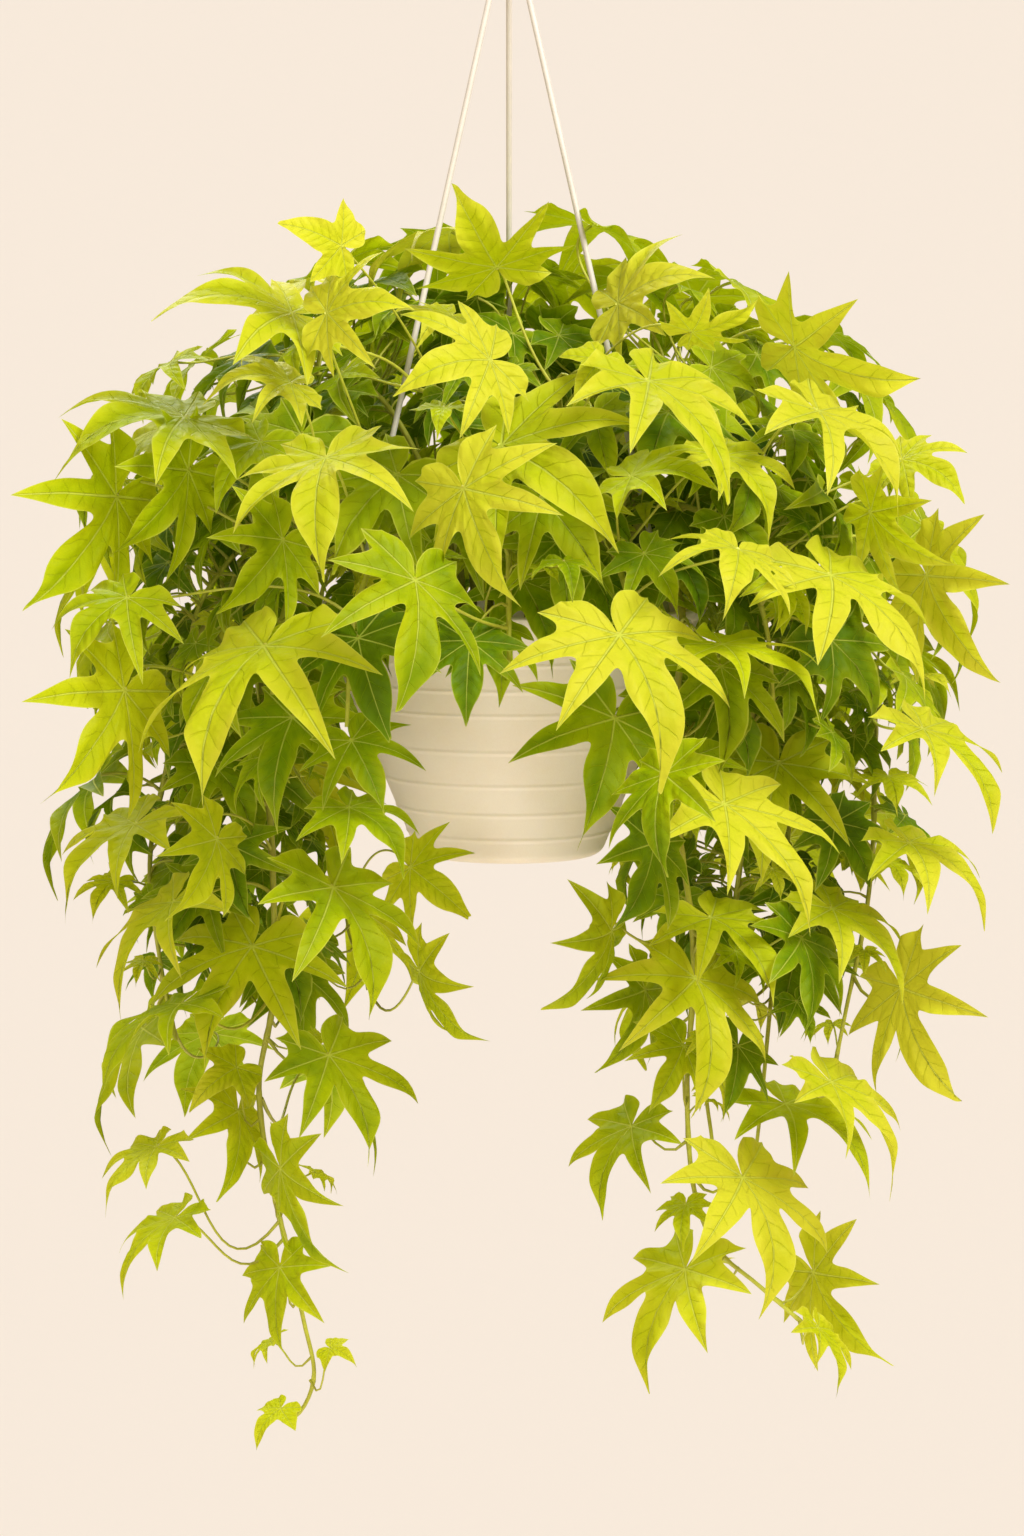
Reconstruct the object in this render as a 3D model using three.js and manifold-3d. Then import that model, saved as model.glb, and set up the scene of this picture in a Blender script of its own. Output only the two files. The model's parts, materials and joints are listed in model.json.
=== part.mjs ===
// A chartreuse sweet potato vine in a plastic pot that hangs by three strands from one hook.
// Millimetres, +Z up. The origin is the inside of the hook's crown, where the object hangs,
// and the pot's axis is the Z axis. The front of the plant faces -Y.

import * as THREE from "three";
import { mergeVertices } from "three/addons/utils/BufferGeometryUtils.js";
import Module from "manifold-3d";

const wasm = await Module();
wasm.setup();

// Driving dimensions

const hook = { wire: 2.6, inside: 17, shankFoot: -76, shankTop: -58, tipTurn: 50 };
const collar = { radius: 12, top: -70, bottom: -96, holeDepth: 17, holeSpread: 5.5, sides: 20 };
const pot = {
  rimTop: -589,
  rimRadius: 152,
  height: 195,
  taper: 0.41,
  wall: 3,
  rimBand: 2.4,
  rimBandHeight: 9,
  footRound: 7,
  ribDepths: [38, 58, 77, 106, 133, 156, 176],
  ribHeight: 1.1,
  ribWidth: 4,
  drainHoles: 4,
  drainRadius: 5,
  drainRing: 38,
  sides: 24,
};
const soil = { drop: 25, wallGap: 0.9, seatGap: 0.3, holeDepth: 26, holeRadius: 4.4 };
const strand = {
  radius: 2.3,
  azimuths: { back: 90, left: 211, right: -29 },
  holeDrop: 15,
  seatGap: 0.6,
  holeGap: 0.9,
};
const vineStem = { radius: 2.8, sides: 4, stepLength: 56 };
const leafStalk = { half: 1.15, portHalf: 1.5 };
const blade = { half: 0.42, clearance: 0.7, hindBend: 0.4 };

// The view that the leaf marks were read in: a picture 1024 wide and 1536 high,
// taken 3 m away and looking 6 degrees down. Marks are pixels of that picture.
const view = { distance: 3000, down: 6, focal: 3836, middle: [512, 768], aim: [2.3, 0, -717] };

// Small helpers

const radians = THREE.MathUtils.degToRad;
const vec = (x, y, z) => new THREE.Vector3(x, y, z);
const polar = (azimuth, radius, z) =>
  vec(radius * Math.cos(radians(azimuth)), radius * Math.sin(radians(azimuth)), z);

const toScene = vec(0, Math.cos(radians(view.down)), -Math.sin(radians(view.down)));
const toRight = vec(1, 0, 0);
const toTop = vec(0, Math.sin(radians(view.down)), Math.cos(radians(view.down)));
const eye = vec(...view.aim).addScaledVector(toScene, -view.distance);

// The point at depth y that the picture shows at a mark.
function fromPicture(mark, y) {
  const ray = toScene.clone().multiplyScalar(view.focal);
  ray.addScaledVector(toRight, mark[0] - view.middle[0]);
  ray.addScaledVector(toTop, view.middle[1] - mark[1]);
  return eye.clone().addScaledVector(ray, (y - eye.y) / ray.y);
}

// The mark at which the picture shows a point.
function toPicture(point) {
  const from = point.clone().sub(eye);
  const scale = view.focal / from.dot(toScene);
  return [view.middle[0] + from.x * scale, view.middle[1] - from.dot(toTop) * scale];
}

// A repeatable draw from 0 to 1 for a whole number.
function draw(number) {
  const value = Math.sin(number * 12.9898 + 4.1414) * 43758.5453;
  return value - Math.floor(value);
}

// A closed mesh as a solid that can be joined and cut.
function solidFrom(geometry) {
  const bare = geometry.index ? geometry.toNonIndexed() : geometry.clone();
  bare.deleteAttribute("normal");
  bare.deleteAttribute("uv");
  const merged = mergeVertices(bare, 1e-3);
  const kept = [];
  for (let i = 0; i < merged.index.count; i += 3) {
    const [a, b, c] = [0, 1, 2].map((corner) => merged.index.getX(i + corner));
    if (a !== b && b !== c && a !== c) kept.push(a, b, c);
  }
  return new wasm.Manifold(
    new wasm.Mesh({
      numProp: 3,
      vertProperties: new Float32Array(merged.attributes.position.array),
      triVerts: new Uint32Array(kept),
    })
  );
}

function geometryFrom(solid) {
  const mesh = solid.getMesh();
  const geometry = new THREE.BufferGeometry();
  const points = new Float32Array((mesh.vertProperties.length / mesh.numProp) * 3);
  for (let i = 0; i < points.length / 3; i++) {
    for (let axis = 0; axis < 3; axis++) {
      points[i * 3 + axis] = mesh.vertProperties[i * mesh.numProp + axis];
    }
  }
  geometry.setAttribute("position", new THREE.BufferAttribute(points, 3));
  geometry.setIndex(new THREE.BufferAttribute(new Uint32Array(mesh.triVerts), 1));
  return geometry;
}

// A section with equal sides, drawn round its middle.
function roundSection(radius, sides) {
  const shape = new THREE.Shape();
  for (let i = 0; i < sides; i++) {
    const angle = (2 * Math.PI * i) / sides;
    const point = [radius * Math.cos(angle), radius * Math.sin(angle)];
    if (i === 0) shape.moveTo(...point);
    else shape.lineTo(...point);
  }
  return shape;
}

function tube(path, radius, sides, steps) {
  const section = roundSection(radius, sides);
  return solidFrom(
    new THREE.ExtrudeGeometry(section, { extrudePath: path, steps, bevelEnabled: false })
  );
}

// A round peg between two points.
function peg(from, to, radius, sides) {
  return tube(new THREE.LineCurve3(from, to), radius, sides, 1);
}

function lathe(profile, segments) {
  const points = profile.map(([radius, z]) => new THREE.Vector2(radius, z)).reverse();
  const geometry = new THREE.LatheGeometry([...points, points[0]], segments);
  geometry.rotateX(Math.PI / 2);
  return solidFrom(geometry);
}

function material(color, roughness) {
  return new THREE.MeshStandardMaterial({ color, roughness, metalness: 0 });
}

const group = new THREE.Group();

function addNode(name, solid, look) {
  const mesh = new THREE.Mesh(geometryFrom(solid), look);
  mesh.name = name;
  group.add(mesh);
}

// Pot

const wallRadius = (z) => pot.rimRadius - pot.taper * (pot.rimTop - z);

function potSolid() {
  const { rimTop, rimBand, rimBandHeight, wall, footRound, ribWidth, ribHeight } = pot;
  const bottom = rimTop - pot.height;
  const profile = [
    [pot.rimRadius - wall * 0.8, rimTop],
    [pot.rimRadius + rimBand * 0.6, rimTop],
    [pot.rimRadius + rimBand, rimTop - 2],
    [wallRadius(rimTop - rimBandHeight) + rimBand, rimTop - rimBandHeight],
    [wallRadius(rimTop - rimBandHeight - 2), rimTop - rimBandHeight - 2],
  ];
  for (const depth of pot.ribDepths) {
    const z = rimTop - depth;
    profile.push([wallRadius(z + ribWidth / 2), z + ribWidth / 2]);
    profile.push([wallRadius(z) + ribHeight, z]);
    profile.push([wallRadius(z - ribWidth / 2), z - ribWidth / 2]);
  }
  profile.push([wallRadius(bottom + footRound), bottom + footRound]);
  profile.push([wallRadius(bottom) - footRound * 0.3, bottom + footRound * 0.28]);
  profile.push([wallRadius(bottom) - footRound, bottom]);
  profile.push([0, bottom]);
  profile.push([0, bottom + wall]);
  profile.push([wallRadius(bottom + wall) - wall - footRound * 0.5, bottom + wall]);
  profile.push([wallRadius(bottom + footRound) - wall, bottom + footRound]);
  let solid = lathe(profile, pot.sides);
  for (let i = 0; i < pot.drainHoles; i++) {
    const azimuth = 45 + (360 * i) / pot.drainHoles;
    const foot = polar(azimuth, pot.drainRing, bottom - 5);
    const head = polar(azimuth, pot.drainRing, bottom + wall + 5);
    solid = solid.subtract(peg(foot, head, pot.drainRadius, 8));
  }
  for (const azimuth of Object.values(strand.azimuths)) {
    const z = rimTop - strand.holeDrop;
    const radius = wallRadius(z);
    const from = polar(azimuth, radius - 12, z);
    solid = solid.subtract(peg(from, polar(azimuth, radius + 12, z), strand.radius + strand.holeGap, 8));
  }
  return solid;
}

// Hook, collar and strands

const strandHead = (azimuth) => polar(azimuth, collar.holeSpread, collar.bottom + collar.holeDepth);

function hookSolid() {
  const { wire, inside, shankFoot, shankTop, tipTurn } = hook;
  const bend = inside + wire;
  const points = [vec(0, 0, shankFoot), vec(0, 0, shankTop), vec(4, 0, shankTop + 11)];
  for (let angle = -50; angle <= 180 + tipTurn; angle += 20) {
    points.push(vec(bend * Math.cos(radians(angle)), 0, bend * Math.sin(radians(angle)) - inside));
  }
  const wireSolid = tube(new THREE.CatmullRomCurve3(points), wire, 6, 24);
  const { radius, top, bottom } = collar;
  const body = lathe(
    [
      [0, top],
      [radius * 0.55, top],
      [radius, top - 6],
      [radius, bottom + 3],
      [radius - 2, bottom],
      [0, bottom],
    ],
    collar.sides
  );
  let solid = body.add(wireSolid);
  for (const azimuth of Object.values(strand.azimuths)) {
    const head = strandHead(azimuth);
    const below = head.clone().lerp(strandKnee(azimuth), 0.08);
    const above = head.clone().addScaledVector(below.clone().sub(head).normalize(), -1);
    solid = solid.subtract(peg(above, below, strand.radius + strand.seatGap, 8));
  }
  return solid;
}

// The strand comes down inside the rim, goes out through its hole and turns up under the rim.
const insideRadius = () => wallRadius(pot.rimTop - strand.holeDrop) - pot.wall;
const strandKnee = (azimuth) => polar(azimuth, insideRadius() - 4.6, pot.rimTop - strand.holeDrop + 12);

function strandSolid(azimuth) {
  const holeZ = pot.rimTop - strand.holeDrop;
  const outside = wallRadius(holeZ);
  const head = strandHead(azimuth);
  const knee = strandKnee(azimuth);
  const turn = new THREE.CatmullRomCurve3([
    knee,
    polar(azimuth, insideRadius() - 3.6, holeZ + 4),
    polar(azimuth, insideRadius() - 1, holeZ + 0.6),
    polar(azimuth, insideRadius() + 3, holeZ),
    polar(azimuth, outside + 3, holeZ),
    polar(azimuth, outside + 8, holeZ + 2),
    polar(azimuth, outside + 10.5, holeZ + 8),
  ]);
  const straight = peg(head, knee, strand.radius, 6);
  return straight.add(tube(turn, strand.radius, 6, 8));
}

addNode("hanger_hook", hookSolid(), material(0xe9e5dc, 0.5));
const hangerSolids = [];
for (const [side, azimuth] of Object.entries(strand.azimuths)) {
  const solid = strandSolid(azimuth);
  hangerSolids.push(solid);
  addNode(`strand_${side}`, solid, material(0xefece4, 0.5));
}
addNode("pot", potSolid(), material(0xdccfa8, 0.45));

// Vine stems: each starts in a hole in the soil, and its route is a list chosen by hand

const soilTop = pot.rimTop - soil.drop;

// Short upright vines in the middle of the dome
const crownVines = [-70, -15, 35, 95, 150, 200, 250].map((azimuth, i) => ({
  name: `vine_crown_${i + 1}`,
  hole: [azimuth, 42],
  route: [
    polar(azimuth, 46, soilTop + 60),
    polar(azimuth + 6, 70, soilTop + 125),
    polar(azimuth, 112, soilTop + 178 + 14 * (i % 2)),
    polar(azimuth - 8, 160, soilTop + 196 + 10 * (i % 2)),
  ],
}));

// Vines that arch over the rim all round
const shoulderVines = [-118, -90, -68, -38, -7, 46, 70, 108, 130, 160, 184, 226].map(
  (azimuth, i) => ({
    name: `vine_shoulder_${i + 1}`,
    hole: [azimuth, 92],
    route: [
      polar(azimuth, 101, soilTop + 56),
      polar(azimuth, 142, soilTop + 88 + 16 * (i % 2)),
      polar(azimuth, 196, soilTop + 78 + 16 * (i % 2)),
      polar(azimuth, 238, soilTop + 30),
      polar(azimuth, 250, soilTop - 10 - 20 * ((i + 2) % 3)),
    ],
  })
);

// Long vines that hang below the pot
const longVines = [
  {
    name: "vine_left_long",
    hole: [196, 110],
    route: [
      polar(196, 119, soilTop + 50),
      polar(196, 148, soilTop + 62),
      polar(197, 186, soilTop + 52),
      fromPicture([262, 690], -70),
      fromPicture([272, 850], -76),
      fromPicture([273, 1000], -62),
      fromPicture([259, 1086], -60),
      fromPicture([273, 1188], -56),
      fromPicture([288, 1252], -54),
      fromPicture([304, 1322], -52),
      fromPicture([314, 1376], -50),
      fromPicture([303, 1408], -50),
      fromPicture([286, 1424], -50),
    ],
  },
  {
    name: "vine_left_outer",
    hole: [172, 110],
    route: [
      polar(172, 119, soilTop + 50),
      polar(172, 148, soilTop + 62),
      polar(172, 200, soilTop + 50),
      fromPicture([186, 660], 20),
      fromPicture([168, 760], 14),
      fromPicture([150, 860], 0),
      fromPicture([160, 960], -14),
      fromPicture([176, 1040], -20),
    ],
  },
  {
    name: "vine_left_back",
    hole: [146, 110],
    route: [
      polar(146, 119, soilTop + 50),
      polar(146, 148, soilTop + 62),
      polar(146, 190, soilTop + 46),
      polar(147, 200, soilTop - 40),
      fromPicture([322, 800], 92),
      fromPicture([352, 900], 70),
      fromPicture([368, 990], 56),
    ],
  },
  {
    name: "vine_right_long",
    hole: [-56, 110],
    route: [
      polar(-52, 119, soilTop + 50),
      polar(-52, 148, soilTop + 62),
      polar(-49, 190, soilTop + 44),
      fromPicture([676, 720], -150),
      fromPicture([680, 838], -112),
      fromPicture([691, 916], -90),
      fromPicture([694, 972], -80),
      fromPicture([687, 1094], -66),
      fromPicture([696, 1198], -60),
      fromPicture([718, 1250], -58),
      fromPicture([757, 1284], -54),
      fromPicture([811, 1330], -50),
    ],
  },
  {
    name: "vine_right_second",
    hole: [-20, 110],
    route: [
      polar(-20, 119, soilTop + 50),
      polar(-20, 148, soilTop + 62),
      polar(-20, 192, soilTop + 44),
      fromPicture([752, 720], -64),
      fromPicture([742, 850], -34),
      fromPicture([724, 980], -24),
      fromPicture([706, 1080], -26),
      fromPicture([712, 1140], -30),
    ],
  },
  {
    name: "vine_right_third",
    hole: [6, 110],
    route: [
      polar(6, 119, soilTop + 50),
      polar(6, 148, soilTop + 62),
      polar(5, 194, soilTop + 42),
      fromPicture([790, 730], 28),
      fromPicture([786, 860], 26),
      fromPicture([772, 990], 18),
      fromPicture([761, 1106], 6),
      fromPicture([756, 1150], 0),
    ],
  },
  {
    name: "vine_right_outer",
    hole: [30, 110],
    route: [
      polar(30, 119, soilTop + 50),
      polar(30, 148, soilTop + 62),
      polar(24, 210, soilTop + 46),
      fromPicture([862, 660], 40),
      fromPicture([874, 780], 20),
      fromPicture([868, 900], -4),
      fromPicture([846, 1010], -14),
      fromPicture([834, 1070], -20),
    ],
  },
];

const vines = [...crownVines, ...shoulderVines, ...longVines];

function vineCurve(vine) {
  const [azimuth, radius] = vine.hole;
  const foot = polar(azimuth, radius, soilTop - soil.holeDepth + soil.seatGap);
  const uprights = [6, 27].map((height) => polar(azimuth, radius, soilTop + height));
  return new THREE.CatmullRomCurve3([foot, ...uprights, ...vine.route]);
}

for (const vine of vines) {
  vine.curve = vineCurve(vine);
  const length = vine.curve.getLength();
  vine.steps = Math.round(length / vineStem.stepLength) + 2;
  vine.stem = tube(vine.curve, vineStem.radius, vineStem.sides, vine.steps);
  vine.length = length;
}

// Soil

function soilSolid() {
  const bottom = pot.rimTop - pot.height + pot.wall + soil.seatGap;
  const inside = (z) => wallRadius(z) - pot.wall - soil.wallGap;
  let solid = lathe(
    [
      [0, soilTop + 4],
      [inside(soilTop) * 0.6, soilTop + 3],
      [inside(soilTop), soilTop],
      [inside(bottom + 8), bottom + 8],
      [inside(bottom + 8) - 8, bottom],
      [0, bottom],
    ],
    pot.sides
  );
  for (const vine of vines) {
    const [azimuth, radius] = vine.hole;
    const from = polar(azimuth, radius, soilTop - soil.holeDepth);
    solid = solid.subtract(peg(from, polar(azimuth, radius, soilTop + 9), soil.holeRadius, 6));
  }
  return solid;
}

addNode("soil", soilSolid(), material(0x3a2a1e, 0.95));

// Leaf shapes, as [angle from the middle lobe, distance from the stalk], for one half.
// Each is drawn at a length of 1, from the stalk to the middle lobe's tip.
const leafShapes = {
  large: [
    [126, 0.43],
    [90, 0.68, "tip"],
    [70, 0.4],
    [51, 0.87, "tip"],
    [38, 0.57],
    [29, 0.34],
    [21, 0.53],
  ],
  medium: [
    [124, 0.42],
    [88, 0.66, "tip"],
    [68, 0.4],
    [48, 0.85, "tip"],
    [30, 0.35],
    [21, 0.52],
  ],
  small: [
    [120, 0.42],
    [68, 0.66, "tip"],
    [36, 0.37],
    [21, 0.52],
  ],
};
const shapeBelow = [
  [52, "small"],
  [86, "medium"],
  [Infinity, "large"],
];

// How far the blade stands off its own plane: it arches from its hind lobes to its tip,
// its side lobes hang, and each lobe is a shallow ridge between its sinuses.
function rise(leaf, angle, distance) {
  const onward = distance * Math.cos(radians(angle));
  const arch = leaf.arch * onward * (1 - onward) * (onward < 0 ? blade.hindBend : 1);
  const hang = leaf.hang * (distance * Math.sin(radians(angle))) ** 2;
  const ridge = leaf.ridge * Math.cos(radians(angle * 8)) * Math.min(distance, 0.5);
  return arch - hang + ridge;
}

function leafPoint(leaf, angle, distance) {
  const point = leaf.base.clone();
  point.addScaledVector(leaf.along, leaf.length * distance * Math.cos(radians(angle)));
  point.addScaledVector(leaf.side, leaf.length * distance * Math.sin(radians(angle)));
  return point.addScaledVector(leaf.normal, leaf.length * rise(leaf, angle, distance));
}

// A blade with its stalk as one closed solid. The stalk's rings run from the leaf to the stem,
// and the first joins the blade's notch.
function leafSolid(leaf, stalkRings) {
  const half = leafShapes[leaf.shape];
  const marks = [
    ...half.map(([angle, distance, kind]) => [-angle, distance, kind]),
    [0, 1, "tip"],
    ...half.map(([angle, distance, kind]) => [angle, distance, kind]).reverse(),
  ];
  const notch = (side) => leaf.base.clone().addScaledVector(leaf.side, side * leafStalk.portHalf);
  const outline = [
    notch(-1),
    ...marks.map(([angle, distance]) => leafPoint(leaf, angle, distance)),
    notch(1),
  ];
  const count = outline.length;
  const last = count - 1;
  const off = leaf.normal.clone().multiplyScalar(blade.half);
  const points = [
    ...outline.map((point) => point.clone().add(off)),
    ...outline.map((point) => point.clone().sub(off)),
  ];
  const faces = [];
  const cover = (a, b, c) => faces.push([a, b, c], [a + count, c + count, b + count]);
  const ring = [];
  for (let i = 0; i < count; i++) {
    if (i > 0 && i < last && marks[i - 1][2] === "tip") cover(i - 1, i, i + 1);
    else ring.push(i);
  }
  const half1 = ring.filter((i) => i < last / 2);
  const half2 = ring.filter((i) => i > last / 2);
  for (let i = 1; i < half1.length - 1; i++) cover(0, half1[i], half1[i + 1]);
  for (let i = 0; i < half2.length - 2; i++) cover(last, half2[i], half2[i + 1]);
  cover(0, half1[half1.length - 1], half2[0]);
  cover(0, half2[0], last);
  for (let i = 0; i < last; i++) {
    faces.push([i, i + count, i + 1], [i + 1, i + count, i + 1 + count]);
  }
  let open = [0, last, last + count, count];
  for (const corners of stalkRings) {
    const next = corners.map((corner) => points.push(corner) - 1);
    for (let i = 0; i < 4; i++) {
      const j = (i + 1) % 4;
      faces.push([open[i], open[j], next[j]], [open[i], next[j], next[i]]);
    }
    open = next;
  }
  faces.push([open[0], open[1], open[2]], [open[0], open[2], open[3]]);
  return new wasm.Manifold(
    new wasm.Mesh({
      numProp: 3,
      vertProperties: new Float32Array(points.flatMap((point) => point.toArray())),
      triVerts: new Uint32Array(faces.flat()),
    })
  );
}

// Four corners of a stalk's section, turned as the leaf is.
function stalkRing(leaf, centre, tangent) {
  const across = leaf.side.clone().addScaledVector(tangent, -leaf.side.dot(tangent));
  if (across.length() < 0.2) {
    across.copy(leaf.normal).addScaledVector(tangent, -leaf.normal.dot(tangent));
  }
  across.setLength(leafStalk.half);
  const over = tangent.clone().cross(across).setLength(leafStalk.half);
  return [
    centre.clone().sub(across).add(over),
    centre.clone().add(across).add(over),
    centre.clone().add(across).sub(over),
    centre.clone().sub(across).sub(over),
  ];
}

// The ways in which a stalk may leave its stem, as shares of its length: outwards, then up.
const stalkBends = [
  [0.3, 0.3],
  [0.1, 0.5],
  [0.5, 0.05],
  [0.2, -0.25],
  [-0.2, 0.3],
];
// A leaf this low hangs in a bow: its stalk dips before it rises, where there is room for it.
const lowLeaves = -820;
const bowBend = [0.5, -0.6];
const bendsFor = (leaf) => (leaf.base.z < lowLeaves ? [bowBend, ...stalkBends] : stalkBends);

function stalkRings(leaf, root, bend) {
  const span = leaf.base.distanceTo(root);
  const outwards = leaf.base.clone().sub(root).setZ(0);
  if (outwards.length() > 1) outwards.normalize();
  const leave = root.clone().addScaledVector(outwards, span * bend[0]);
  leave.z += span * bend[1];
  const arrive = leaf.base.clone().addScaledVector(leaf.along, -0.2 * span);
  arrive.addScaledVector(leaf.normal, -0.3 * span);
  const curve = new THREE.CubicBezierCurve3(root, leave, arrive, leaf.base);
  return [0.6, 0].map((t) => stalkRing(leaf, curve.getPoint(t), curve.getTangent(t)));
}

// Leaves that the front shows. Each is: the stalk's mark and the middle tip's mark in the
// picture, how far behind the front of the foliage it is in layers, where it isn't 1.1 its
// true length over the length shown, and, where they can be seen, the marks of the tips
// beside the middle one.
const frontLeaves = [
  [[497, 268], [454, 189], 5.2, 1.1, [[417, 247], [561, 207]]],
  [[326, 457], [323, 565], 0, 1.1, [[220, 511], [408, 480]]],
  [[463, 487], [519, 602], 0, 1.1, [[430, 571], [567, 497]]],
  [[500, 445], [616, 533], 1],
  [[415, 579], [403, 703], 0, 1.1, [[330, 627], [485, 674]]],
  [[618, 634], [664, 773], 0, 1.1, [[541, 727], [734, 698]]],
  [[265, 645], [205, 789], 0, 1.1, [[121, 747], [320, 740]]],
  [[293, 716], [275, 824], 2, 1.1, [[352, 782]]],
  [[358, 637], [391, 732], 2],
  [[470, 640], [466, 721], 2],
  [[490, 626], [502, 702], 2.6, 1.1, [[548, 686]]],
  [[615, 717], [577, 841], 2, 1.1, [[512, 757]]],
  [[665, 773], [665, 870], 1, 1.1, [[608, 822], [714, 797]]],
  [[723, 803], [816, 923], 0, 1.1, [[736, 876], [838, 813]]],
  [[654, 842], [613, 928], 2, 1.1, [[597, 862]]],
  [[710, 917], [773, 989], 2, 1.1, [[799, 918], [704, 958]]],
  [[695, 977], [700, 1100], 0, 1.1, [[622, 1033], [770, 1053]]],
  [[612, 930], [543, 1003], 1, 1.1, [[555, 918], [591, 981]]],
  [[645, 989], [600, 1065], 2, 1.1, [[593, 1010]]],
  [[684, 1045], [649, 1104], 2],
  [[738, 1045], [721, 1115], 2],
  [[801, 937], [800, 1031], 1, 1.1, [[770, 966], [846, 1002]]],
  [[831, 908], [906, 993], 1, 1.1, [[901, 920], [843, 975]]],
  [[901, 986], [953, 1090], 1, 1.1, [[974, 1000]]],
  [[830, 1081], [904, 1180], 0, 1.1, [[837, 1126], [907, 1099]]],
  [[784, 1103], [874, 1175], 2, 1.1, [[810, 1171]]],
  [[632, 1125], [594, 1211], 1, 1.1, [[566, 1148], [649, 1166]]],
  [[742, 1176], [768, 1299], 0, 1.1, [[697, 1238], [835, 1248]]],
  [[686, 1268], [642, 1381], 0, 1.1, [[602, 1297], [719, 1325]]],
  [[813, 1271], [885, 1352], 1, 1.1, [[873, 1278]]],
  [[818, 1327], [840, 1389], 0, 1.1, [[847, 1347], [811, 1341]]],
  [[647, 380], [733, 492], 0, 1.1, [[637, 448], [762, 418]]],
  [[601, 360], [569, 407], 1],
  [[722, 455], [775, 525], 1, 1.1, [[817, 471], [731, 496]]],
  [[738, 549], [721, 608], 0, 1.7, [[642, 546], [787, 606]]],
  [[829, 574], [921, 694], 0, 1.1, [[814, 655], [943, 623]]],
  [[817, 410], [910, 515], 0, 1.1, [[889, 427], [838, 478]]],
  [[793, 346], [911, 378], 0, 1.1, [[839, 306]]],
  [[617, 304], [710, 273], 5.6, 1.1, [[658, 243]]],
  [[691, 332], [754, 298], 1, 1.1, [[708, 292], [747, 337]]],
  [[901, 459], [963, 495], 1],
  [[870, 511], [947, 562], 1, 1.1, [[920, 498]]],
  [[926, 574], [993, 676], 0, 1.1, [[984, 569]]],
  [[922, 728], [997, 822], 0, 1.1, [[994, 737], [941, 781]]],
  [[908, 842], [987, 917], 0, 1.1, [[974, 853], [928, 897]]],
  [[721, 644], [823, 702], 1, 1.1, [[741, 678]]],
  [[644, 553], [680, 613], 2],
  [[630, 476], [721, 483], 1, 1.1, [[672, 447], [647, 508]]],
  [[564, 561], [573, 593], 1, 1.6, [[521, 575], [597, 572]]],
  [[293, 313], [156, 310], 0, 1.1, [[233, 263], [228, 355]]],
  [[186, 417], [58, 465], 0, 1.1, [[79, 400]]],
  [[117, 495], [32, 605], 0, 1.1, [[34, 483]]],
  [[189, 469], [105, 556], 1, 1.1, [[115, 456]]],
  [[291, 383], [205, 390], 0, 1.1, [[232, 355], [252, 411]]],
  [[342, 246], [281, 221], 0],
  [[326, 313], [414, 304], 0],
  [[452, 315], [416, 345], 5.6, 1.5],
  [[491, 360], [396, 385], 0],
  [[445, 407], [437, 438], 0, 1.6, [[371, 400], [484, 403]]],
  [[375, 484], [372, 546], 2],
  [[283, 539], [222, 609], 1, 1.1, [[212, 531]]],
  [[261, 441], [215, 506], 2],
  [[128, 597], [68, 665], 0, 1.1, [[48, 624]]],
  [[125, 689], [51, 796], 0, 1.1, [[26, 706]]],
  [[136, 823], [55, 906], 0, 1.1, [[72, 816], [121, 869]]],
  [[174, 901], [117, 1007], 0, 1.1, [[82, 937], [171, 937]]],
  [[182, 1003], [104, 1080], 0, 1.1, [[155, 1060]]],
  [[217, 838], [175, 916], 1, 1.1, [[152, 860]]],
  [[253, 945], [203, 1059], 1],
  [[292, 965], [300, 1059], 2, 1.1, [[352, 988], [255, 995]]],
  [[332, 886], [378, 1010], 0, 1.1, [[304, 954], [422, 915]]],
  [[348, 807], [408, 867], 1, 1.1, [[412, 822]]],
  [[351, 740], [387, 810], 2],
  [[328, 1054], [377, 1156], 0, 1.1, [[297, 1108], [419, 1071]]],
  [[419, 970], [487, 1038], 3, 1.1, [[466, 965], [435, 1013]]],
  [[410, 867], [469, 908], 3],
  [[237, 1067], [191, 1102], 1],
  [[238, 1110], [225, 1189], 1, 1.1, [[199, 1148], [255, 1202]]],
  [[157, 1146], [105, 1206], 0, 1.1, [[94, 1166], [146, 1172]]],
  [[176, 1217], [121, 1289], 0, 1.1, [[127, 1223], [161, 1256]]],
  [[280, 1167], [346, 1267], 0, 1.1, [[341, 1197], [283, 1227]]],
  [[280, 1266], [286, 1352], 0, 1.1, [[239, 1296], [317, 1290]]],
  [[330, 1348], [358, 1361], 0, 1.1, [[356, 1339]]],
  [[281, 1408], [255, 1442], 0, 1.1, [[253, 1413]]],
];

// Foliage's front, as the depth y of its outermost leaves at a point of the picture
const dome = { middle: -590, wide: 392, deep: 315, high: 335 };
const columns = [
  { x: -212, y: -20, wide: 178, deep: 125 },
  { x: 195, y: -20, wide: 182, deep: 135 },
];
const layerStep = 34;

function frontDepth(x, z) {
  const depths = [0];
  const domeShare = 1 - (x / dome.wide) ** 2 - ((z - dome.middle) / dome.high) ** 2;
  if (domeShare > 0) depths.push(-dome.deep * Math.sqrt(domeShare));
  for (const column of columns) {
    const share = 1 - ((x - column.x) / column.wide) ** 2;
    const thin = THREE.MathUtils.clamp((z + 1350) / 600, 0.45, 1);
    if (share > 0 && z < dome.middle) depths.push(column.y - column.deep * thin * Math.sqrt(share));
  }
  const around = wallRadius(z) + 42;
  if (z > pot.rimTop - pot.height && Math.abs(x) < around) {
    depths.push(-Math.sqrt(around ** 2 - x ** 2));
  }
  return Math.min(...depths);
}

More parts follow.
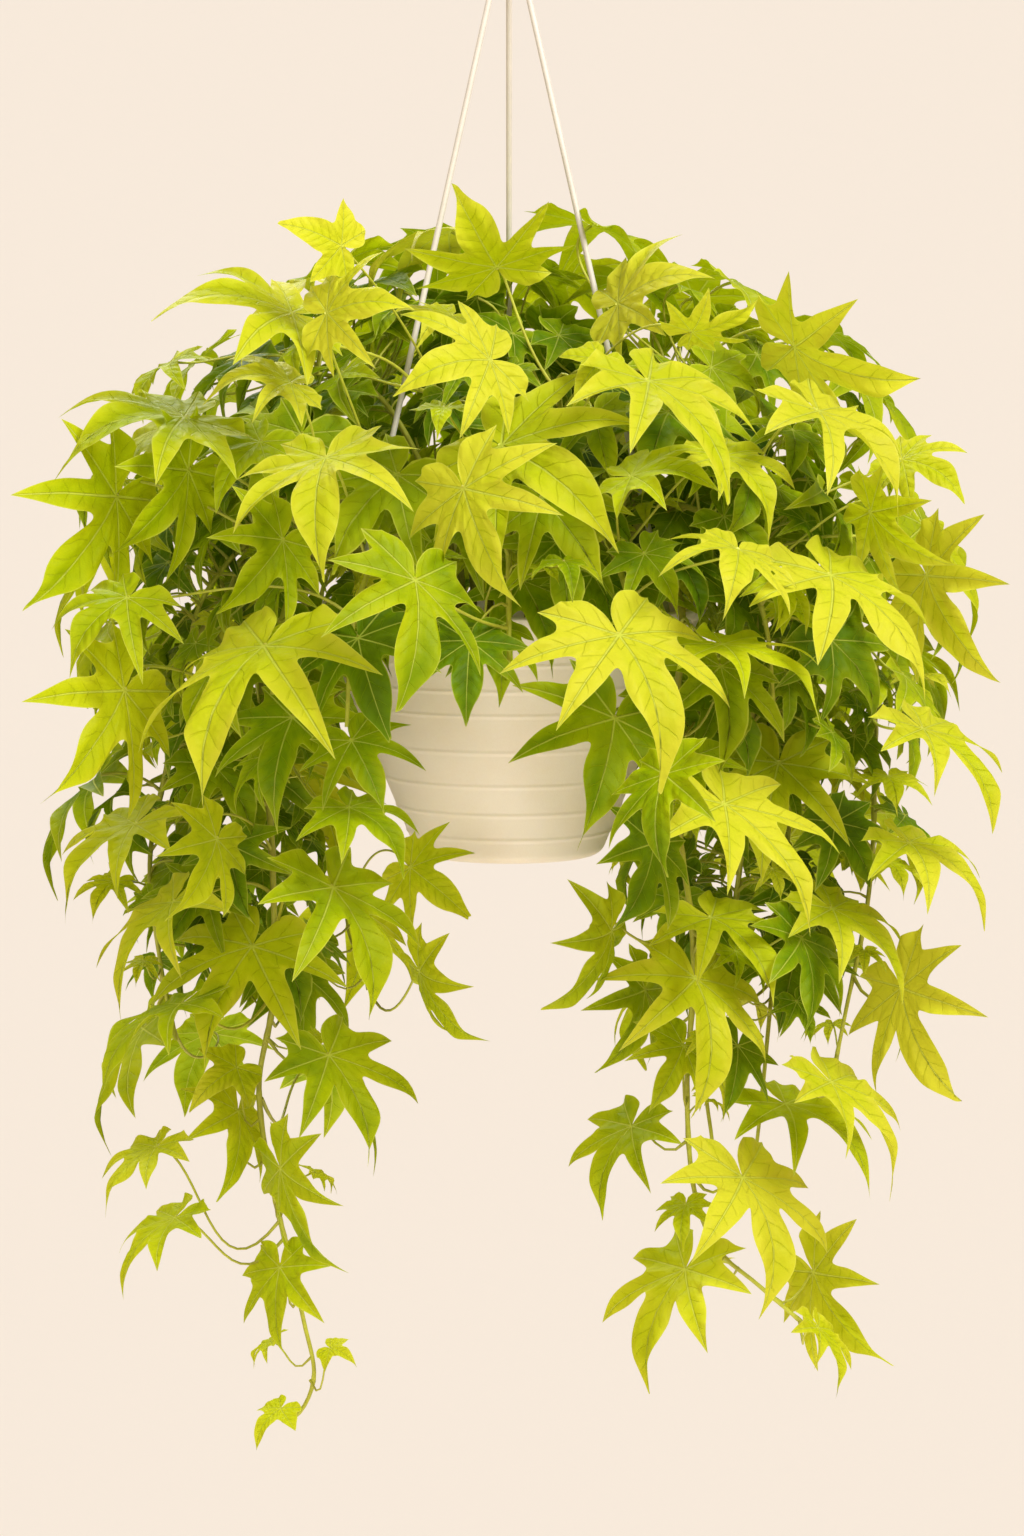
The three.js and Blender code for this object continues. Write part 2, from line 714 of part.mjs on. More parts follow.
// A leaf's attitude, from the direction of its middle lobe and the way it faces.
function pose(leaf, along, facing, turn) {
  leaf.along = along.clone().normalize();
  leaf.normal = facing.clone().addScaledVector(leaf.along, -facing.dot(leaf.along)).normalize();
  leaf.normal.applyAxisAngle(leaf.along, radians(turn));
  leaf.side = leaf.normal.clone().cross(leaf.along);
  leaf.shape = shapeBelow.find(([limit]) => leaf.length < limit)[1];
  return leaf;
}

function bentBy(leaf, seed) {
  leaf.arch = 0.38 + 0.22 * draw(seed);
  leaf.hang = 0.2 + 0.25 * draw(seed + 0.3);
  leaf.ridge = 0.05 * (draw(seed + 0.6) - 0.3);
  return leaf;
}

// How a leaf of the list is held: how much longer it is than it shows, how far it is turned
// about its middle lobe, and how far its sides hang.
const stretches = [1.04, 1.1, 1.18, 1.3];
const hangs = [0.1, 0.25, 0.4, 0.55];
const mostTurn = 72;
const turnStep = 4;

function attitude(row, index) {
  const [stalkMark, tipMark, , given = 1.1, sideMarks = []] = row;
  let best = { stretch: given, turn: 24 * (draw(index + 0.9) - 0.5), miss: Infinity };
  if (sideMarks.length === 0) return best;
  const middle = [tipMark[0] - stalkMark[0], tipMark[1] - stalkMark[1]];
  const sided = sideMarks.map((mark) => {
    const away = middle[0] * (mark[1] - stalkMark[1]) - middle[1] * (mark[0] - stalkMark[0]);
    return [away < 0 ? 1 : -1, mark];
  });
  const tried = given === 1.1 && sideMarks.length > 1 ? stretches : [given];
  for (const stretch of tried) {
    for (const hang of hangs) {
      for (let turn = -mostTurn; turn <= mostTurn; turn += turnStep) {
        const leaf = frontLeaf(row, index, 0, { stretch, turn, hang });
        const [angle, distance] = leafShapes[leaf.shape].findLast((point) => point[2] === "tip");
        let miss = (turn / 20) ** 2;
        for (const [side, mark] of sided) {
          const shown = toPicture(leafPoint(leaf, side * angle, distance));
          miss += (shown[0] - mark[0]) ** 2 + (shown[1] - mark[1]) ** 2;
        }
        if (miss < best.miss) best = { stretch, turn, hang, miss };
      }
    }
  }
  return best;
}

// A leaf of the list, moved by slide along the line of sight so that it still covers its mark.
function frontLeaf([stalkMark, tipMark, layer], index, slide, { stretch, turn, hang }) {
  const flat = fromPicture(stalkMark, 0);
  const y = Math.min(frontDepth(flat.x, flat.z) + layerStep * layer, 120) + slide;
  const base = fromPicture(stalkMark, y);
  const tip = fromPicture(tipMark, y);
  const shown = tip.clone().sub(base);
  const length = shown.length() * stretch;
  const towards = Math.sqrt(length ** 2 - shown.lengthSq());
  const outwards = vec(base.x, base.y, 0).normalize();
  const nearer = outwards.dot(toScene) < 0.25 ? -1 : 1;
  const along = shown.addScaledVector(toScene, nearer * towards);
  const facing = toScene.clone().multiplyScalar(-1).addScaledVector(outwards, 0.45);
  facing.z += 0.3;
  const leaf = bentBy({ base, length }, index);
  if (hang !== undefined) leaf.hang = hang;
  return pose(leaf, along, facing, turn);
}

// Leaves round the sides, the back and the gaps, on spirals over the same foliage
const spirals = [
  { count: 110, kind: "dome", seed: 1000 },
  { count: 30, kind: "column", column: columns[0], bottom: -965, seed: 2000 },
  { count: 32, kind: "column", column: columns[1], bottom: -975, seed: 3000 },
];
const goldenAngle = 137.508;
const leafSpacing = 96;

function spiralPlace(spiral, i) {
  const share = (i + 0.5) / spiral.count;
  const seed = spiral.seed + i;
  if (spiral.kind === "dome") {
    const up = 1 - 1.25 * share;
    const azimuth = goldenAngle * i;
    const ring = Math.sqrt(1 - up * up);
    const base = vec(
      dome.wide * 0.84 * ring * Math.cos(radians(azimuth)),
      dome.deep * 0.84 * ring * Math.sin(radians(azimuth)),
      dome.middle + (dome.high * 0.88) * up
    );
    return { base, out: vec(base.x, base.y, 0).normalize(), steep: 1 - 0.8 * Math.max(up, 0), seed };
  }
  const { column } = spiral;
  const azimuth = goldenAngle * i;
  const z = dome.middle - 90 + (spiral.bottom - dome.middle + 90) * share;
  const thin = THREE.MathUtils.clamp((z + 1350) / 600, 0.45, 1);
  const out = vec(Math.cos(radians(azimuth)), Math.sin(radians(azimuth)), 0);
  const base = vec(
    column.x + column.wide * 0.62 * thin * out.x,
    column.y + 40 + column.deep * 0.8 * thin * out.y,
    z
  );
  return { base, out, steep: 1, seed };
}

function spiralLeaf(place, slide) {
  const { out, steep, seed } = place;
  const base = place.base.clone().addScaledVector(out, slide);
  const length = 72 + 36 * draw(seed + 0.11);
  const swing = radians(70 * (draw(seed + 0.21) - 0.5));
  const aside = vec(-out.y, out.x, 0);
  const along = out.clone().multiplyScalar(0.55 * Math.cos(swing));
  along.addScaledVector(aside, Math.sin(swing));
  along.z = -0.25 - 1.1 * steep * Math.cos(swing);
  const facing = out.clone().multiplyScalar(0.5 + 0.6 * steep);
  facing.z += 1.1 - 0.55 * steep;
  return pose(bentBy({ base, length }, seed), along, facing, 30 * (draw(seed + 0.41) - 0.5));
}

// The front of the pot and the space between the long vines stay free, as the picture shows.
const freeWindow = { left: -118, right: 62, top: -640 };

function inWindow(base) {
  const z = base.z + (base.y * toTop.y) / toTop.z;
  const shownX = (base.x * view.distance) / (view.distance + base.y);
  return z < freeWindow.top && shownX > freeWindow.left && shownX < freeWindow.right;
}

// Nor does a leaf of the spirals stand before the strands where the picture shows them whole.
const strandView = { left: -135, right: 131, low: -392, front: -55 };

function beforeStrands({ x, y, z }) {
  const { left, right, low, front } = strandView;
  return x > left && x < right && z > low && y < front;
}

// Placing: a leaf slides until its blade is clear of everything,
// then takes the nearest root on a stem from which its stalk is clear too.
const slides = [0, -14, 14, -28, 28, -42, 42, -56];
const lowReach = 105; // how far to the side a leaf below the rim may have its root

const placed = [];

function obstacle(solid, vine) {
  const { min, max } = solid.boundingBox();
  return { solid, vine, min, max };
}

function clearOf(solid, obstacles) {
  const { min, max } = solid.boundingBox();
  const reach = blade.clearance;
  return obstacles.every((other) => {
    for (let axis = 0; axis < 3; axis++) {
      if (min[axis] > other.max[axis] + reach || max[axis] < other.min[axis] - reach) return true;
    }
    return solid.minGap(other.solid, reach * 2) >= reach;
  });
}

const fixedObstacles = [...hangerSolids, potSolid(), soilSolid()].map((solid) => obstacle(solid));
const stems = vines.map((vine) => obstacle(vine.stem, vine));
const stemPoints = vines.flatMap((vine) => {
  const bends = vine.curve.getSpacedPoints(vine.steps);
  const points = [];
  for (let i = 1; i < bends.length; i++) {
    for (const share of [0.15, 0.45, 0.75]) {
      const point = bends[i - 1].clone().lerp(bends[i], share);
      if (point.z > soilTop + 12 || point.z < soilTop - 60) points.push({ vine, point });
    }
  }
  return points;
});

function rootsFor(leaf) {
  const hangsLow = leaf.base.z < pot.rimTop;
  const reachable = stemPoints.filter(
    ({ point }) => !hangsLow || Math.abs(point.x - leaf.base.x) < lowReach
  );
  const costed = reachable.map(({ vine, point }) => {
    const distance = point.distanceTo(leaf.base);
    const below = Math.max(0, point.z - leaf.base.z - 10);
    const short = Math.max(0, 38 - distance) * 4;
    return { vine, point, cost: distance + 0.5 * below + short };
  });
  costed.sort((a, b) => a.cost - b.cost);
  const chosen = [];
  for (const root of costed) {
    if (root.cost > 230 || chosen.length > 7) break;
    if (chosen.every((other) => other.point.distanceTo(root.point) > 22)) chosen.push(root);
  }
  return chosen;
}

function placeLeaf(make) {
  for (const slide of slides) {
    const leaf = make(slide);
    const bare = leafSolid(leaf, []);
    if (!clearOf(bare, [...fixedObstacles, ...stems, ...placed])) continue;
    for (const root of rootsFor(leaf)) {
      const others = [
        ...fixedObstacles,
        ...stems.filter((stem) => stem.vine !== root.vine),
        ...placed,
      ];
      for (const bend of bendsFor(leaf)) {
        const whole = leafSolid(leaf, stalkRings(leaf, root.point, bend));
        if (clearOf(whole, others) && root.vine.stem.add(whole).decompose().length === 1) {
          placed.push({ ...obstacle(whole, root.vine), leaf });
          return true;
        }
      }
    }
  }
  return false;
}

frontLeaves.forEach((row, i) => {
  const held = attitude(row, i);
  placeLeaf((slide) => frontLeaf(row, i, slide, held));
});
for (const spiral of spirals) {
  for (let i = 0; i < spiral.count; i++) {
    const place = spiralPlace(spiral, i);
    const near = placed.some(({ leaf }) => leaf.base.distanceTo(place.base) < leafSpacing);
    if (near || inWindow(place.base) || beforeStrands(place.base)) continue;
    placeLeaf((slide) => spiralLeaf(place, slide));
  }
}

// One node for each vine, its leaves joined to its stem

const greens = [0xc3cc2e, 0xb4c22a, 0xd0d23a, 0xa3b524, 0xbfc838];
vines.forEach((vine, i) => {
  const leaves = placed.filter((entry) => entry.vine === vine).map((entry) => entry.solid);
  const solid = wasm.Manifold.union([vine.stem, ...leaves]);
  addNode(vine.name, solid, material(greens[i % greens.length], 0.6));
});

export default group;
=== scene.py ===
import bpy
import json
import math
import numpy as np
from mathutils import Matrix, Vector, kdtree

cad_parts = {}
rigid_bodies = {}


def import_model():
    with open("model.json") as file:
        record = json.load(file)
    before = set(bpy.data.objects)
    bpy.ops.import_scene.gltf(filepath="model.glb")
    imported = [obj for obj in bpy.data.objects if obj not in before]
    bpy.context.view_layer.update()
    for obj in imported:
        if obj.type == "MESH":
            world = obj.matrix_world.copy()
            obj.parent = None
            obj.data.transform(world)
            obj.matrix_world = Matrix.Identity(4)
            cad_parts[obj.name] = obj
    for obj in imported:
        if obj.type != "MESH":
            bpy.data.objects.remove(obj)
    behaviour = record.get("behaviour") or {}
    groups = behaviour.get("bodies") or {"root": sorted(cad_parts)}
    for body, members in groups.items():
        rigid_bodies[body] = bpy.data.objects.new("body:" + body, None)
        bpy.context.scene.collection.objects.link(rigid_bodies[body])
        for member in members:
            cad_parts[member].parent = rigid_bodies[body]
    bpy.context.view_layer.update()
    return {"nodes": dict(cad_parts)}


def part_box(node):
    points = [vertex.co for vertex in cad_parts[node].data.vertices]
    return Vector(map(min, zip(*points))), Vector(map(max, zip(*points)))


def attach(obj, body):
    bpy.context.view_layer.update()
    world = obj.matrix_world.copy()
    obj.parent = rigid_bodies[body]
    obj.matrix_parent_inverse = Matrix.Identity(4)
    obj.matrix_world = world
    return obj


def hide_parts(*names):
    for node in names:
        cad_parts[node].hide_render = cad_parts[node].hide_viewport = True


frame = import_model()
nodes = frame["nodes"]
mm = 0.001  # the plant is laid out in millimetres, as its CAD model is


# Picture and camera

picture = {
    "distance": 3000,      # from the camera to the pot's axis
    "down": 6,             # degrees that the camera looks down
    "focal": 3836,         # pixels
    "middle": (512, 768),
    "height": 1536,
    "aim": (2.3, 0, -717),
    "sensor": 36,          # mm
    "farthest": 30,        # metres that the camera sees
}

down = math.radians(picture["down"])
toScene = np.array([0, math.cos(down), -math.sin(down)])
toRight = np.array([1.0, 0, 0])
toTop = np.array([0, math.sin(down), math.cos(down)])
eye = np.array(picture["aim"]) - toScene * picture["distance"]


def vec(*numbers):
    return np.array(numbers, float)


def unit(v):
    return v / max(np.linalg.norm(v), 1e-12)


def polar(azimuth, radius, z):
    turn = math.radians(azimuth)
    return vec(radius * math.cos(turn), radius * math.sin(turn), z)


# The point at depth y that the picture shows at a mark in pixels
def fromPicture(mark, y):
    ray = toScene * picture["focal"] + toRight * (mark[0] - picture["middle"][0])
    ray = ray + toTop * (picture["middle"][1] - mark[1])
    return eye + ray * (y - eye[1]) / ray[1]


# The mark at which the picture shows a point
def toPicture(point):
    ray = point - eye
    scale = picture["focal"] / np.dot(ray, toScene)
    return vec(picture["middle"][0] + ray[0] * scale,
               picture["middle"][1] - np.dot(ray, toTop) * scale)


# A repeatable draw from 0 to 1
def draw(number):
    value = math.sin(number * 12.9898 + 4.1414) * 43758.5453
    return value - math.floor(value)


# The first number of a pair, and a drawn share of the second
def drawn(pair, number):
    return pair[0] + pair[1] * draw(number)


def turned(v, axis, degrees):
    a = math.radians(degrees)
    return (v * math.cos(a) + np.cross(axis, v) * math.sin(a)
            + axis * np.dot(axis, v) * (1 - math.cos(a)))


def addCamera():
    data = bpy.data.cameras.new("camera")
    camera = bpy.data.objects.new("camera", data)
    bpy.context.scene.collection.objects.link(camera)
    data.sensor_width = picture["sensor"]
    data.lens = picture["focal"] / picture["height"] * picture["sensor"]
    data.clip_end = picture["farthest"]
    camera.location = eye * mm
    camera.rotation_euler = (math.radians(90 - picture["down"]), 0, 0)
    bpy.context.scene.camera = camera


addCamera()
print("camera placed")


# Vines: the routes that their stems have in the CAD model

pot = {
    "rimTop": -589,
    "rimRadius": 152,
    "height": 195,
    "taper": 0.41,
    "wall": 3,
}
strand = {
    "radius": 2.3,
    "azimuths": {"back": 90, "left": 211, "right": -29},
    "holeDrop": 15,
    "holeGap": 0.9,
}
hanger = {
    "wire": 2.6,
    "inside": 17,
    "shankFoot": -76,
    "shankTop": -58,
    "tipTurn": 50,
    "collarRadius": 12,
    "collarTop": -70,
    "collarBottom": -96,
    "holeDepth": 17,
    "holeSpread": 5.5,
}
soilTop = pot["rimTop"] - 25
stem = {
    "radius": 2.8,
    "tipRadius": 1.5,
    "heights": (soilTop - 25.7, soilTop + 6, soilTop + 27),  # where it stands in its hole
    "stepLength": 56,
    "lineStep": 7,
    "rootShares": (0.15, 0.45, 0.75),      # places on a step where stalks may start
    "bare": (soilTop - 60, soilTop + 12),  # heights between which none starts
}


def wallRadius(z):
    return pot["rimRadius"] - pot["taper"] * (pot["rimTop"] - z)


def crownVine(i, azimuth):
    return ("vine_crown_%d" % (i + 1), (azimuth, 42), [
        polar(azimuth, 46, soilTop + 60),
        polar(azimuth + 6, 70, soilTop + 125),
        polar(azimuth, 112, soilTop + 178 + 14 * (i % 2)),
        polar(azimuth - 8, 160, soilTop + 196 + 10 * (i % 2)),
    ])


def shoulderVine(i, azimuth):
    return ("vine_shoulder_%d" % (i + 1), (azimuth, 92), [
        polar(azimuth, 101, soilTop + 56),
        polar(azimuth, 142, soilTop + 88 + 16 * (i % 2)),
        polar(azimuth, 196, soilTop + 78 + 16 * (i % 2)),
        polar(azimuth, 238, soilTop + 30),
        polar(azimuth, 250, soilTop - 10 - 20 * ((i + 2) % 3)),
    ])


rimPlaces = ((119, 50), (148, 62))  # radius and height over the soil, of a long vine at the rim


# A long vine: the azimuths of its hole and of its way over the rim, its places beyond the rim
# and its marks in the picture, each with a depth
def longVine(name, hole, over, beyond, marks):
    route = [polar(over, radius, soilTop + rise) for radius, rise in rimPlaces]
    route += [polar(azimuth, radius, soilTop + rise) for azimuth, radius, rise in beyond]
    route += [fromPicture((x, y), depth) for x, y, depth in marks]
    return (name, (hole, 110), route)


vines = [crownVine(i, a) for i, a in enumerate([-70, -15, 35, 95, 150, 200, 250])]
vines += [shoulderVine(i, a) for i, a in enumerate(
    [-118, -90, -68, -38, -7, 46, 70, 108, 130, 160, 184, 226])]
vines += [
    longVine("vine_left_long", 196, 196, [(197, 186, 52)], [
        (262, 690, -70), (272, 850, -76), (273, 1000, -62), (259, 1086, -60), (273, 1188, -56),
        (288, 1252, -54), (304, 1322, -52), (314, 1376, -50), (303, 1408, -50),
        (286, 1424, -50)]),
    longVine("vine_left_outer", 172, 172, [(172, 200, 50)], [
        (186, 660, 20), (168, 760, 14), (150, 860, 0), (160, 960, -14), (176, 1040, -20)]),
    longVine("vine_left_back", 146, 146, [(146, 190, 46), (147, 200, -40)], [
        (322, 800, 92), (352, 900, 70), (368, 990, 56)]),
    longVine("vine_right_long", -56, -52, [(-49, 190, 44)], [
        (676, 720, -150), (680, 838, -112), (691, 916, -90), (694, 972, -80), (687, 1094, -66),
        (696, 1198, -60), (718, 1250, -58), (757, 1284, -54), (811, 1330, -50)]),
    longVine("vine_right_second", -20, -20, [(-20, 192, 44)], [
        (752, 720, -64), (742, 850, -34), (724, 980, -24), (706, 1080, -26), (712, 1140, -30)]),
    longVine("vine_right_third", 6, 6, [(5, 194, 42)], [
        (790, 730, 28), (786, 860, 26), (772, 990, 18), (761, 1106, 6), (756, 1150, 0)]),
    longVine("vine_right_outer", 30, 30, [(24, 210, 46)], [
        (862, 660, 40), (874, 780, 20), (868, 900, -4), (846, 1010, -14), (834, 1070, -20)]),
]


curveSamples = np.linspace(0, 1, 201)


# The place at t, from 0 to 1, on a smooth curve through points
def catmullPoint(points, t):
    last = len(points) - 1
    i = min(int(t * last), last - 1)
    w = t * last - i
    p1, p2 = points[i], points[i + 1]
    p0 = points[i - 1] if i > 0 else 2 * points[0] - points[1]
    p3 = points[i + 2] if i + 2 <= last else 2 * points[last] - points[last - 1]
    d0, d1, d2 = (max(np.dot(b - a, b - a) ** 0.25, 1e-9)
                  for a, b in ((p0, p1), (p1, p2), (p2, p3)))
    m1 = ((p1 - p0) / d0 - (p2 - p0) / (d0 + d1) + (p2 - p1) / d1) * d1
    m2 = ((p2 - p1) / d1 - (p3 - p1) / (d1 + d2) + (p3 - p2) / d2) * d1
    return (p1 + m1 * w + (-3 * p1 + 3 * p2 - 2 * m1 - m2) * w ** 2
            + (2 * p1 - 2 * p2 + m1 + m2) * w ** 3)


# How far along the curve each of its samples is
def curveTable(points):
    samples = np.array([catmullPoint(points, t) for t in curveSamples])
    return np.concatenate([[0], np.cumsum(np.linalg.norm(np.diff(samples, axis=0), axis=1))])


def spacedPoints(points, lengths, count):
    targets = np.linspace(0, lengths[-1], count + 1)
    return np.array([catmullPoint(points, t) for t in np.interp(targets, lengths, curveSamples)])


class Vine:
    def __init__(self, name, hole, route):
        points = [polar(*hole, z) for z in stem["heights"]] + route
        lengths = curveTable(points)
        self.name = name
        self.roots = []   # where stalks may start
        self.leaves = []
        self.extras = []  # the leaves that the CAD vine doesn't have
        self.line = spacedPoints(points, lengths, round(lengths[-1] / stem["lineStep"]))
        bends = spacedPoints(points, lengths, round(lengths[-1] / stem["stepLength"]) + 2)
        low, high = stem["bare"]
        for i in range(1, len(bends)):
            for share in stem["rootShares"]:
                point = bends[i - 1] + (bends[i] - bends[i - 1]) * share
                if point[2] > high or point[2] < low:
                    self.roots.append(point)


vines = [Vine(*v) for v in vines]
print("vines laid out:", len(vines))


# Foliage: the same leaves as in the CAD model. A leaf of the first list is the stalk's mark and
# the middle tip's mark in the picture, its layer, its tone from dark green at 0 to yellow at 1,
# and the marks of the tips beside the middle one.

frontLeaves = [
    ((497, 268), (454, 189), 5.2, 0.75, (417, 247), (561, 207)),
    ((326, 457), (323, 565), 0, 0.85, (220, 511), (408, 480)),
    ((463, 487), (519, 602), 0, 0.97, (430, 571), (567, 497)),
    ((500, 445), (616, 533), 1, 0.72),
    ((415, 579), (403, 703), 0, 0.38, (330, 627), (485, 674)),
    ((618, 634), (664, 773), 0, 0.92, (541, 727), (734, 698)),
    ((265, 645), (205, 789), 0, 0.78, (121, 747), (320, 740)),
    ((293, 716), (275, 824), 2, 0.30, (352, 782)),
    ((358, 637), (391, 732), 2, 0.15),
    ((470, 640), (466, 721), 2, 0.20),
    ((490, 626), (502, 702), 2.6, 0.30, (548, 686)),
    ((615, 717), (577, 841), 2, 0.30, (512, 757)),
    ((665, 773), (665, 870), 1, 0.36, (608, 822), (714, 797)),
    ((723, 803), (816, 923), 0, 0.88, (736, 876), (838, 813)),
    ((654, 842), (613, 928), 2, 0.22, (597, 862)),
    ((710, 917), (773, 989), 2, 0.70, (799, 918), (704, 958)),
    ((695, 977), (700, 1100), 0, 0.85, (622, 1033), (770, 1053)),
    ((612, 930), (543, 1003), 1, 0.45, (555, 918), (591, 981)),
    ((645, 989), (600, 1065), 2, 0.40, (593, 1010)),
    ((684, 1045), (649, 1104), 2, 0.50),
    ((738, 1045), (721, 1115), 2, 0.25),
    ((801, 937), (800, 1031), 1, 0.27, (770, 966), (846, 1002)),
    ((831, 908), (906, 993), 1, 0.75, (901, 920), (843, 975)),
    ((901, 986), (953, 1090), 1, 0.95, (974, 1000)),
    ((830, 1081), (904, 1180), 0, 0.85, (837, 1126), (907, 1099)),
    ((784, 1103), (874, 1175), 2, 0.55, (810, 1171)),
    ((632, 1125), (594, 1211), 1, 0.45, (566, 1148), (649, 1166)),
    ((742, 1176), (768, 1299), 0, 0.92, (697, 1238), (835, 1248)),
    ((686, 1268), (642, 1381), 0, 0.70, (602, 1297), (719, 1325)),
    ((813, 1271), (885, 1352), 1, 0.72, (873, 1278)),
    ((818, 1327), (840, 1389), 0, 0.80, (847, 1347), (811, 1341)),
    ((647, 380), (733, 492), 0, 0.80, (637, 448), (762, 418)),
    ((601, 360), (569, 407), 1, 0.70),
    ((722, 455), (775, 525), 1, 0.82, (817, 471), (731, 496)),
    ((738, 549), (721, 608), 0, 0.90, (642, 546), (787, 606)),
    ((829, 574), (921, 694), 0, 0.88, (814, 655), (943, 623)),
    ((817, 410), (910, 515), 0, 0.97, (889, 427), (838, 478)),
    ((793, 346), (911, 378), 0, 0.95, (839, 306)),
    ((617, 304), (710, 273), 5.6, 0.95, (658, 243)),
    ((691, 332), (754, 298), 1, 0.85, (708, 292), (747, 337)),
    ((901, 459), (963, 495), 1, 0.80),
    ((870, 511), (947, 562), 1, 0.80, (920, 498)),
    ((926, 574), (993, 676), 0, 0.95, (984, 569)),
    ((922, 728), (997, 822), 0, 0.88, (994, 737), (941, 781)),
    ((908, 842), (987, 917), 0, 0.85, (974, 853), (928, 897)),
    ((721, 644), (823, 702), 1, 0.65, (741, 678)),
    ((644, 553), (680, 613), 2, 0.25),
    ((630, 476), (721, 483), 1, 0.60, (672, 447), (647, 508)),
    ((564, 561), (573, 593), 1, 0.22, (521, 575), (597, 572)),
    ((293, 313), (156, 310), 0, 0.75, (233, 263), (228, 355)),
    ((186, 417), (58, 465), 0, 0.60, (79, 400)),
    ((117, 495), (32, 605), 0, 0.55, (34, 483)),
    ((189, 469), (105, 556), 1, 0.50, (115, 456)),
    ((291, 383), (205, 390), 0, 0.95, (232, 355), (252, 411)),
    ((342, 246), (281, 221), 0, 0.85),
    ((326, 313), (414, 304), 0, 0.90),
    ((452, 315), (416, 345), 5.6, 0.85),
    ((491, 360), (396, 385), 0, 0.85),
    ((445, 407), (437, 438), 0, 0.50, (371, 400), (484, 403)),
    ((375, 484), (372, 546), 2, 0.35),
    ((283, 539), (222, 609), 1, 0.48, (212, 531)),
    ((261, 441), (215, 506), 2, 0.40),
    ((128, 597), (68, 665), 0, 0.60, (48, 624)),
    ((125, 689), (51, 796), 0, 0.65, (26, 706)),
    ((136, 823), (55, 906), 0, 0.72, (72, 816), (121, 869)),
    ((174, 901), (117, 1007), 0, 0.85, (82, 937), (171, 937)),
    ((182, 1003), (104, 1080), 0, 0.42, (155, 1060)),
    ((217, 838), (175, 916), 1, 0.55, (152, 860)),
    ((253, 945), (203, 1059), 1, 0.70),
    ((292, 965), (300, 1059), 2, 0.28, (352, 988), (255, 995)),
    ((332, 886), (378, 1010), 0, 0.42, (304, 954), (422, 915)),
    ((348, 807), (408, 867), 1, 0.42, (412, 822)),
    ((351, 740), (387, 810), 2, 0.25),
    ((328, 1054), (377, 1156), 0, 0.42, (297, 1108), (419, 1071)),
    ((419, 970), (487, 1038), 3, 0.65, (466, 965), (435, 1013)),
    ((410, 867), (469, 908), 3, 0.65),
    ((237, 1067), (191, 1102), 1, 0.70),
    ((238, 1110), (225, 1189), 1, 0.62, (199, 1148), (255, 1202)),
    ((157, 1146), (105, 1206), 0, 0.75, (94, 1166), (146, 1172)),
    ((176, 1217), (121, 1289), 0, 0.62, (127, 1223), (161, 1256)),
    ((280, 1167), (346, 1267), 0, 0.50, (341, 1197), (283, 1227)),
    ((280, 1266), (286, 1352), 0, 0.50, (239, 1296), (317, 1290)),
    ((330, 1348), (358, 1361), 0, 0.70, (356, 1339)),
    ((281, 1408), (255, 1442), 0, 0.70, (253, 1413)),
]

usualStretch = 1.1  # a leaf's true length over the length shown
ownStretches = {(738, 549): 1.7, (564, 561): 1.6, (452, 315): 1.5, (445, 407): 1.6}
besideTip = {"large": (51, 0.87), "medium": (48, 0.85), "small": (68, 0.66)}
dome = {"middle": -590, "wide": 392, "deep": 315, "high": 335}
columns = [
    {"x": -212, "y": -20, "wide": 178, "deep": 125, "bottom": -965, "count": 30, "seed": 2000},
    {"x": 195, "y": -20, "wide": 182, "deep": 135, "bottom": -975, "count": 32, "seed": 3000},
]
lowest = -1350      # where the longest vines end
potRoom = 42        # from the pot's wall to the leaves before it
layerStep = 34
slides = (0, -14, 14, -28, 28, -42, 42, -56)
stalkBends = ((0.3, 0.3), (0.1, 0.5), (0.5, 0.05), (0.2, -0.25), (-0.2, 0.3))
bowBend = (0.5, -0.6)
lowLeaves = -820    # below this height a stalk may hang in a bow
bladeHalf = 0.42    # half the thickness of a CAD blade, and of a CAD stalk
stalkHalf = 1.15
stalkKnee = 0.6     # where along a CAD stalk its corners are


# How much of a column is left at a height
def thinning(z):
    return min(max((z - lowest) / 600, 0.45), 1)


# The depth at which the foliage starts, seen from the front
def frontDepth(x, z):
    depths = [0]
    share = 1 - (x / dome["wide"]) ** 2 - ((z - dome["middle"]) / dome["high"]) ** 2
    if share > 0:
        depths.append(-dome["deep"] * math.sqrt(share))
    for column in columns:
        share = 1 - ((x - column["x"]) / column["wide"]) ** 2
        if share > 0 and z < dome["middle"]:
            depths.append(column["y"] - column["deep"] * thinning(z) * math.sqrt(share))
    around = wallRadius(z) + potRoom
    if z > pot["rimTop"] - pot["height"] and abs(x) < around:
        depths.append(-math.sqrt(around ** 2 - x ** 2))
    return min(depths)


leafBend = {
    "arch": (0.38, 0.22),   # along the middle lobe
    "behind": 0.4,          # share of the arch behind the stalk
    "hang": (0.2, 0.25),    # of the sides
    "ridge": 0.05,
    "arrive": (0.2, 0.3),   # how far behind and below the blade its stalk turns to it
    "lengths": (52, 86),    # from which a leaf is medium or large
}


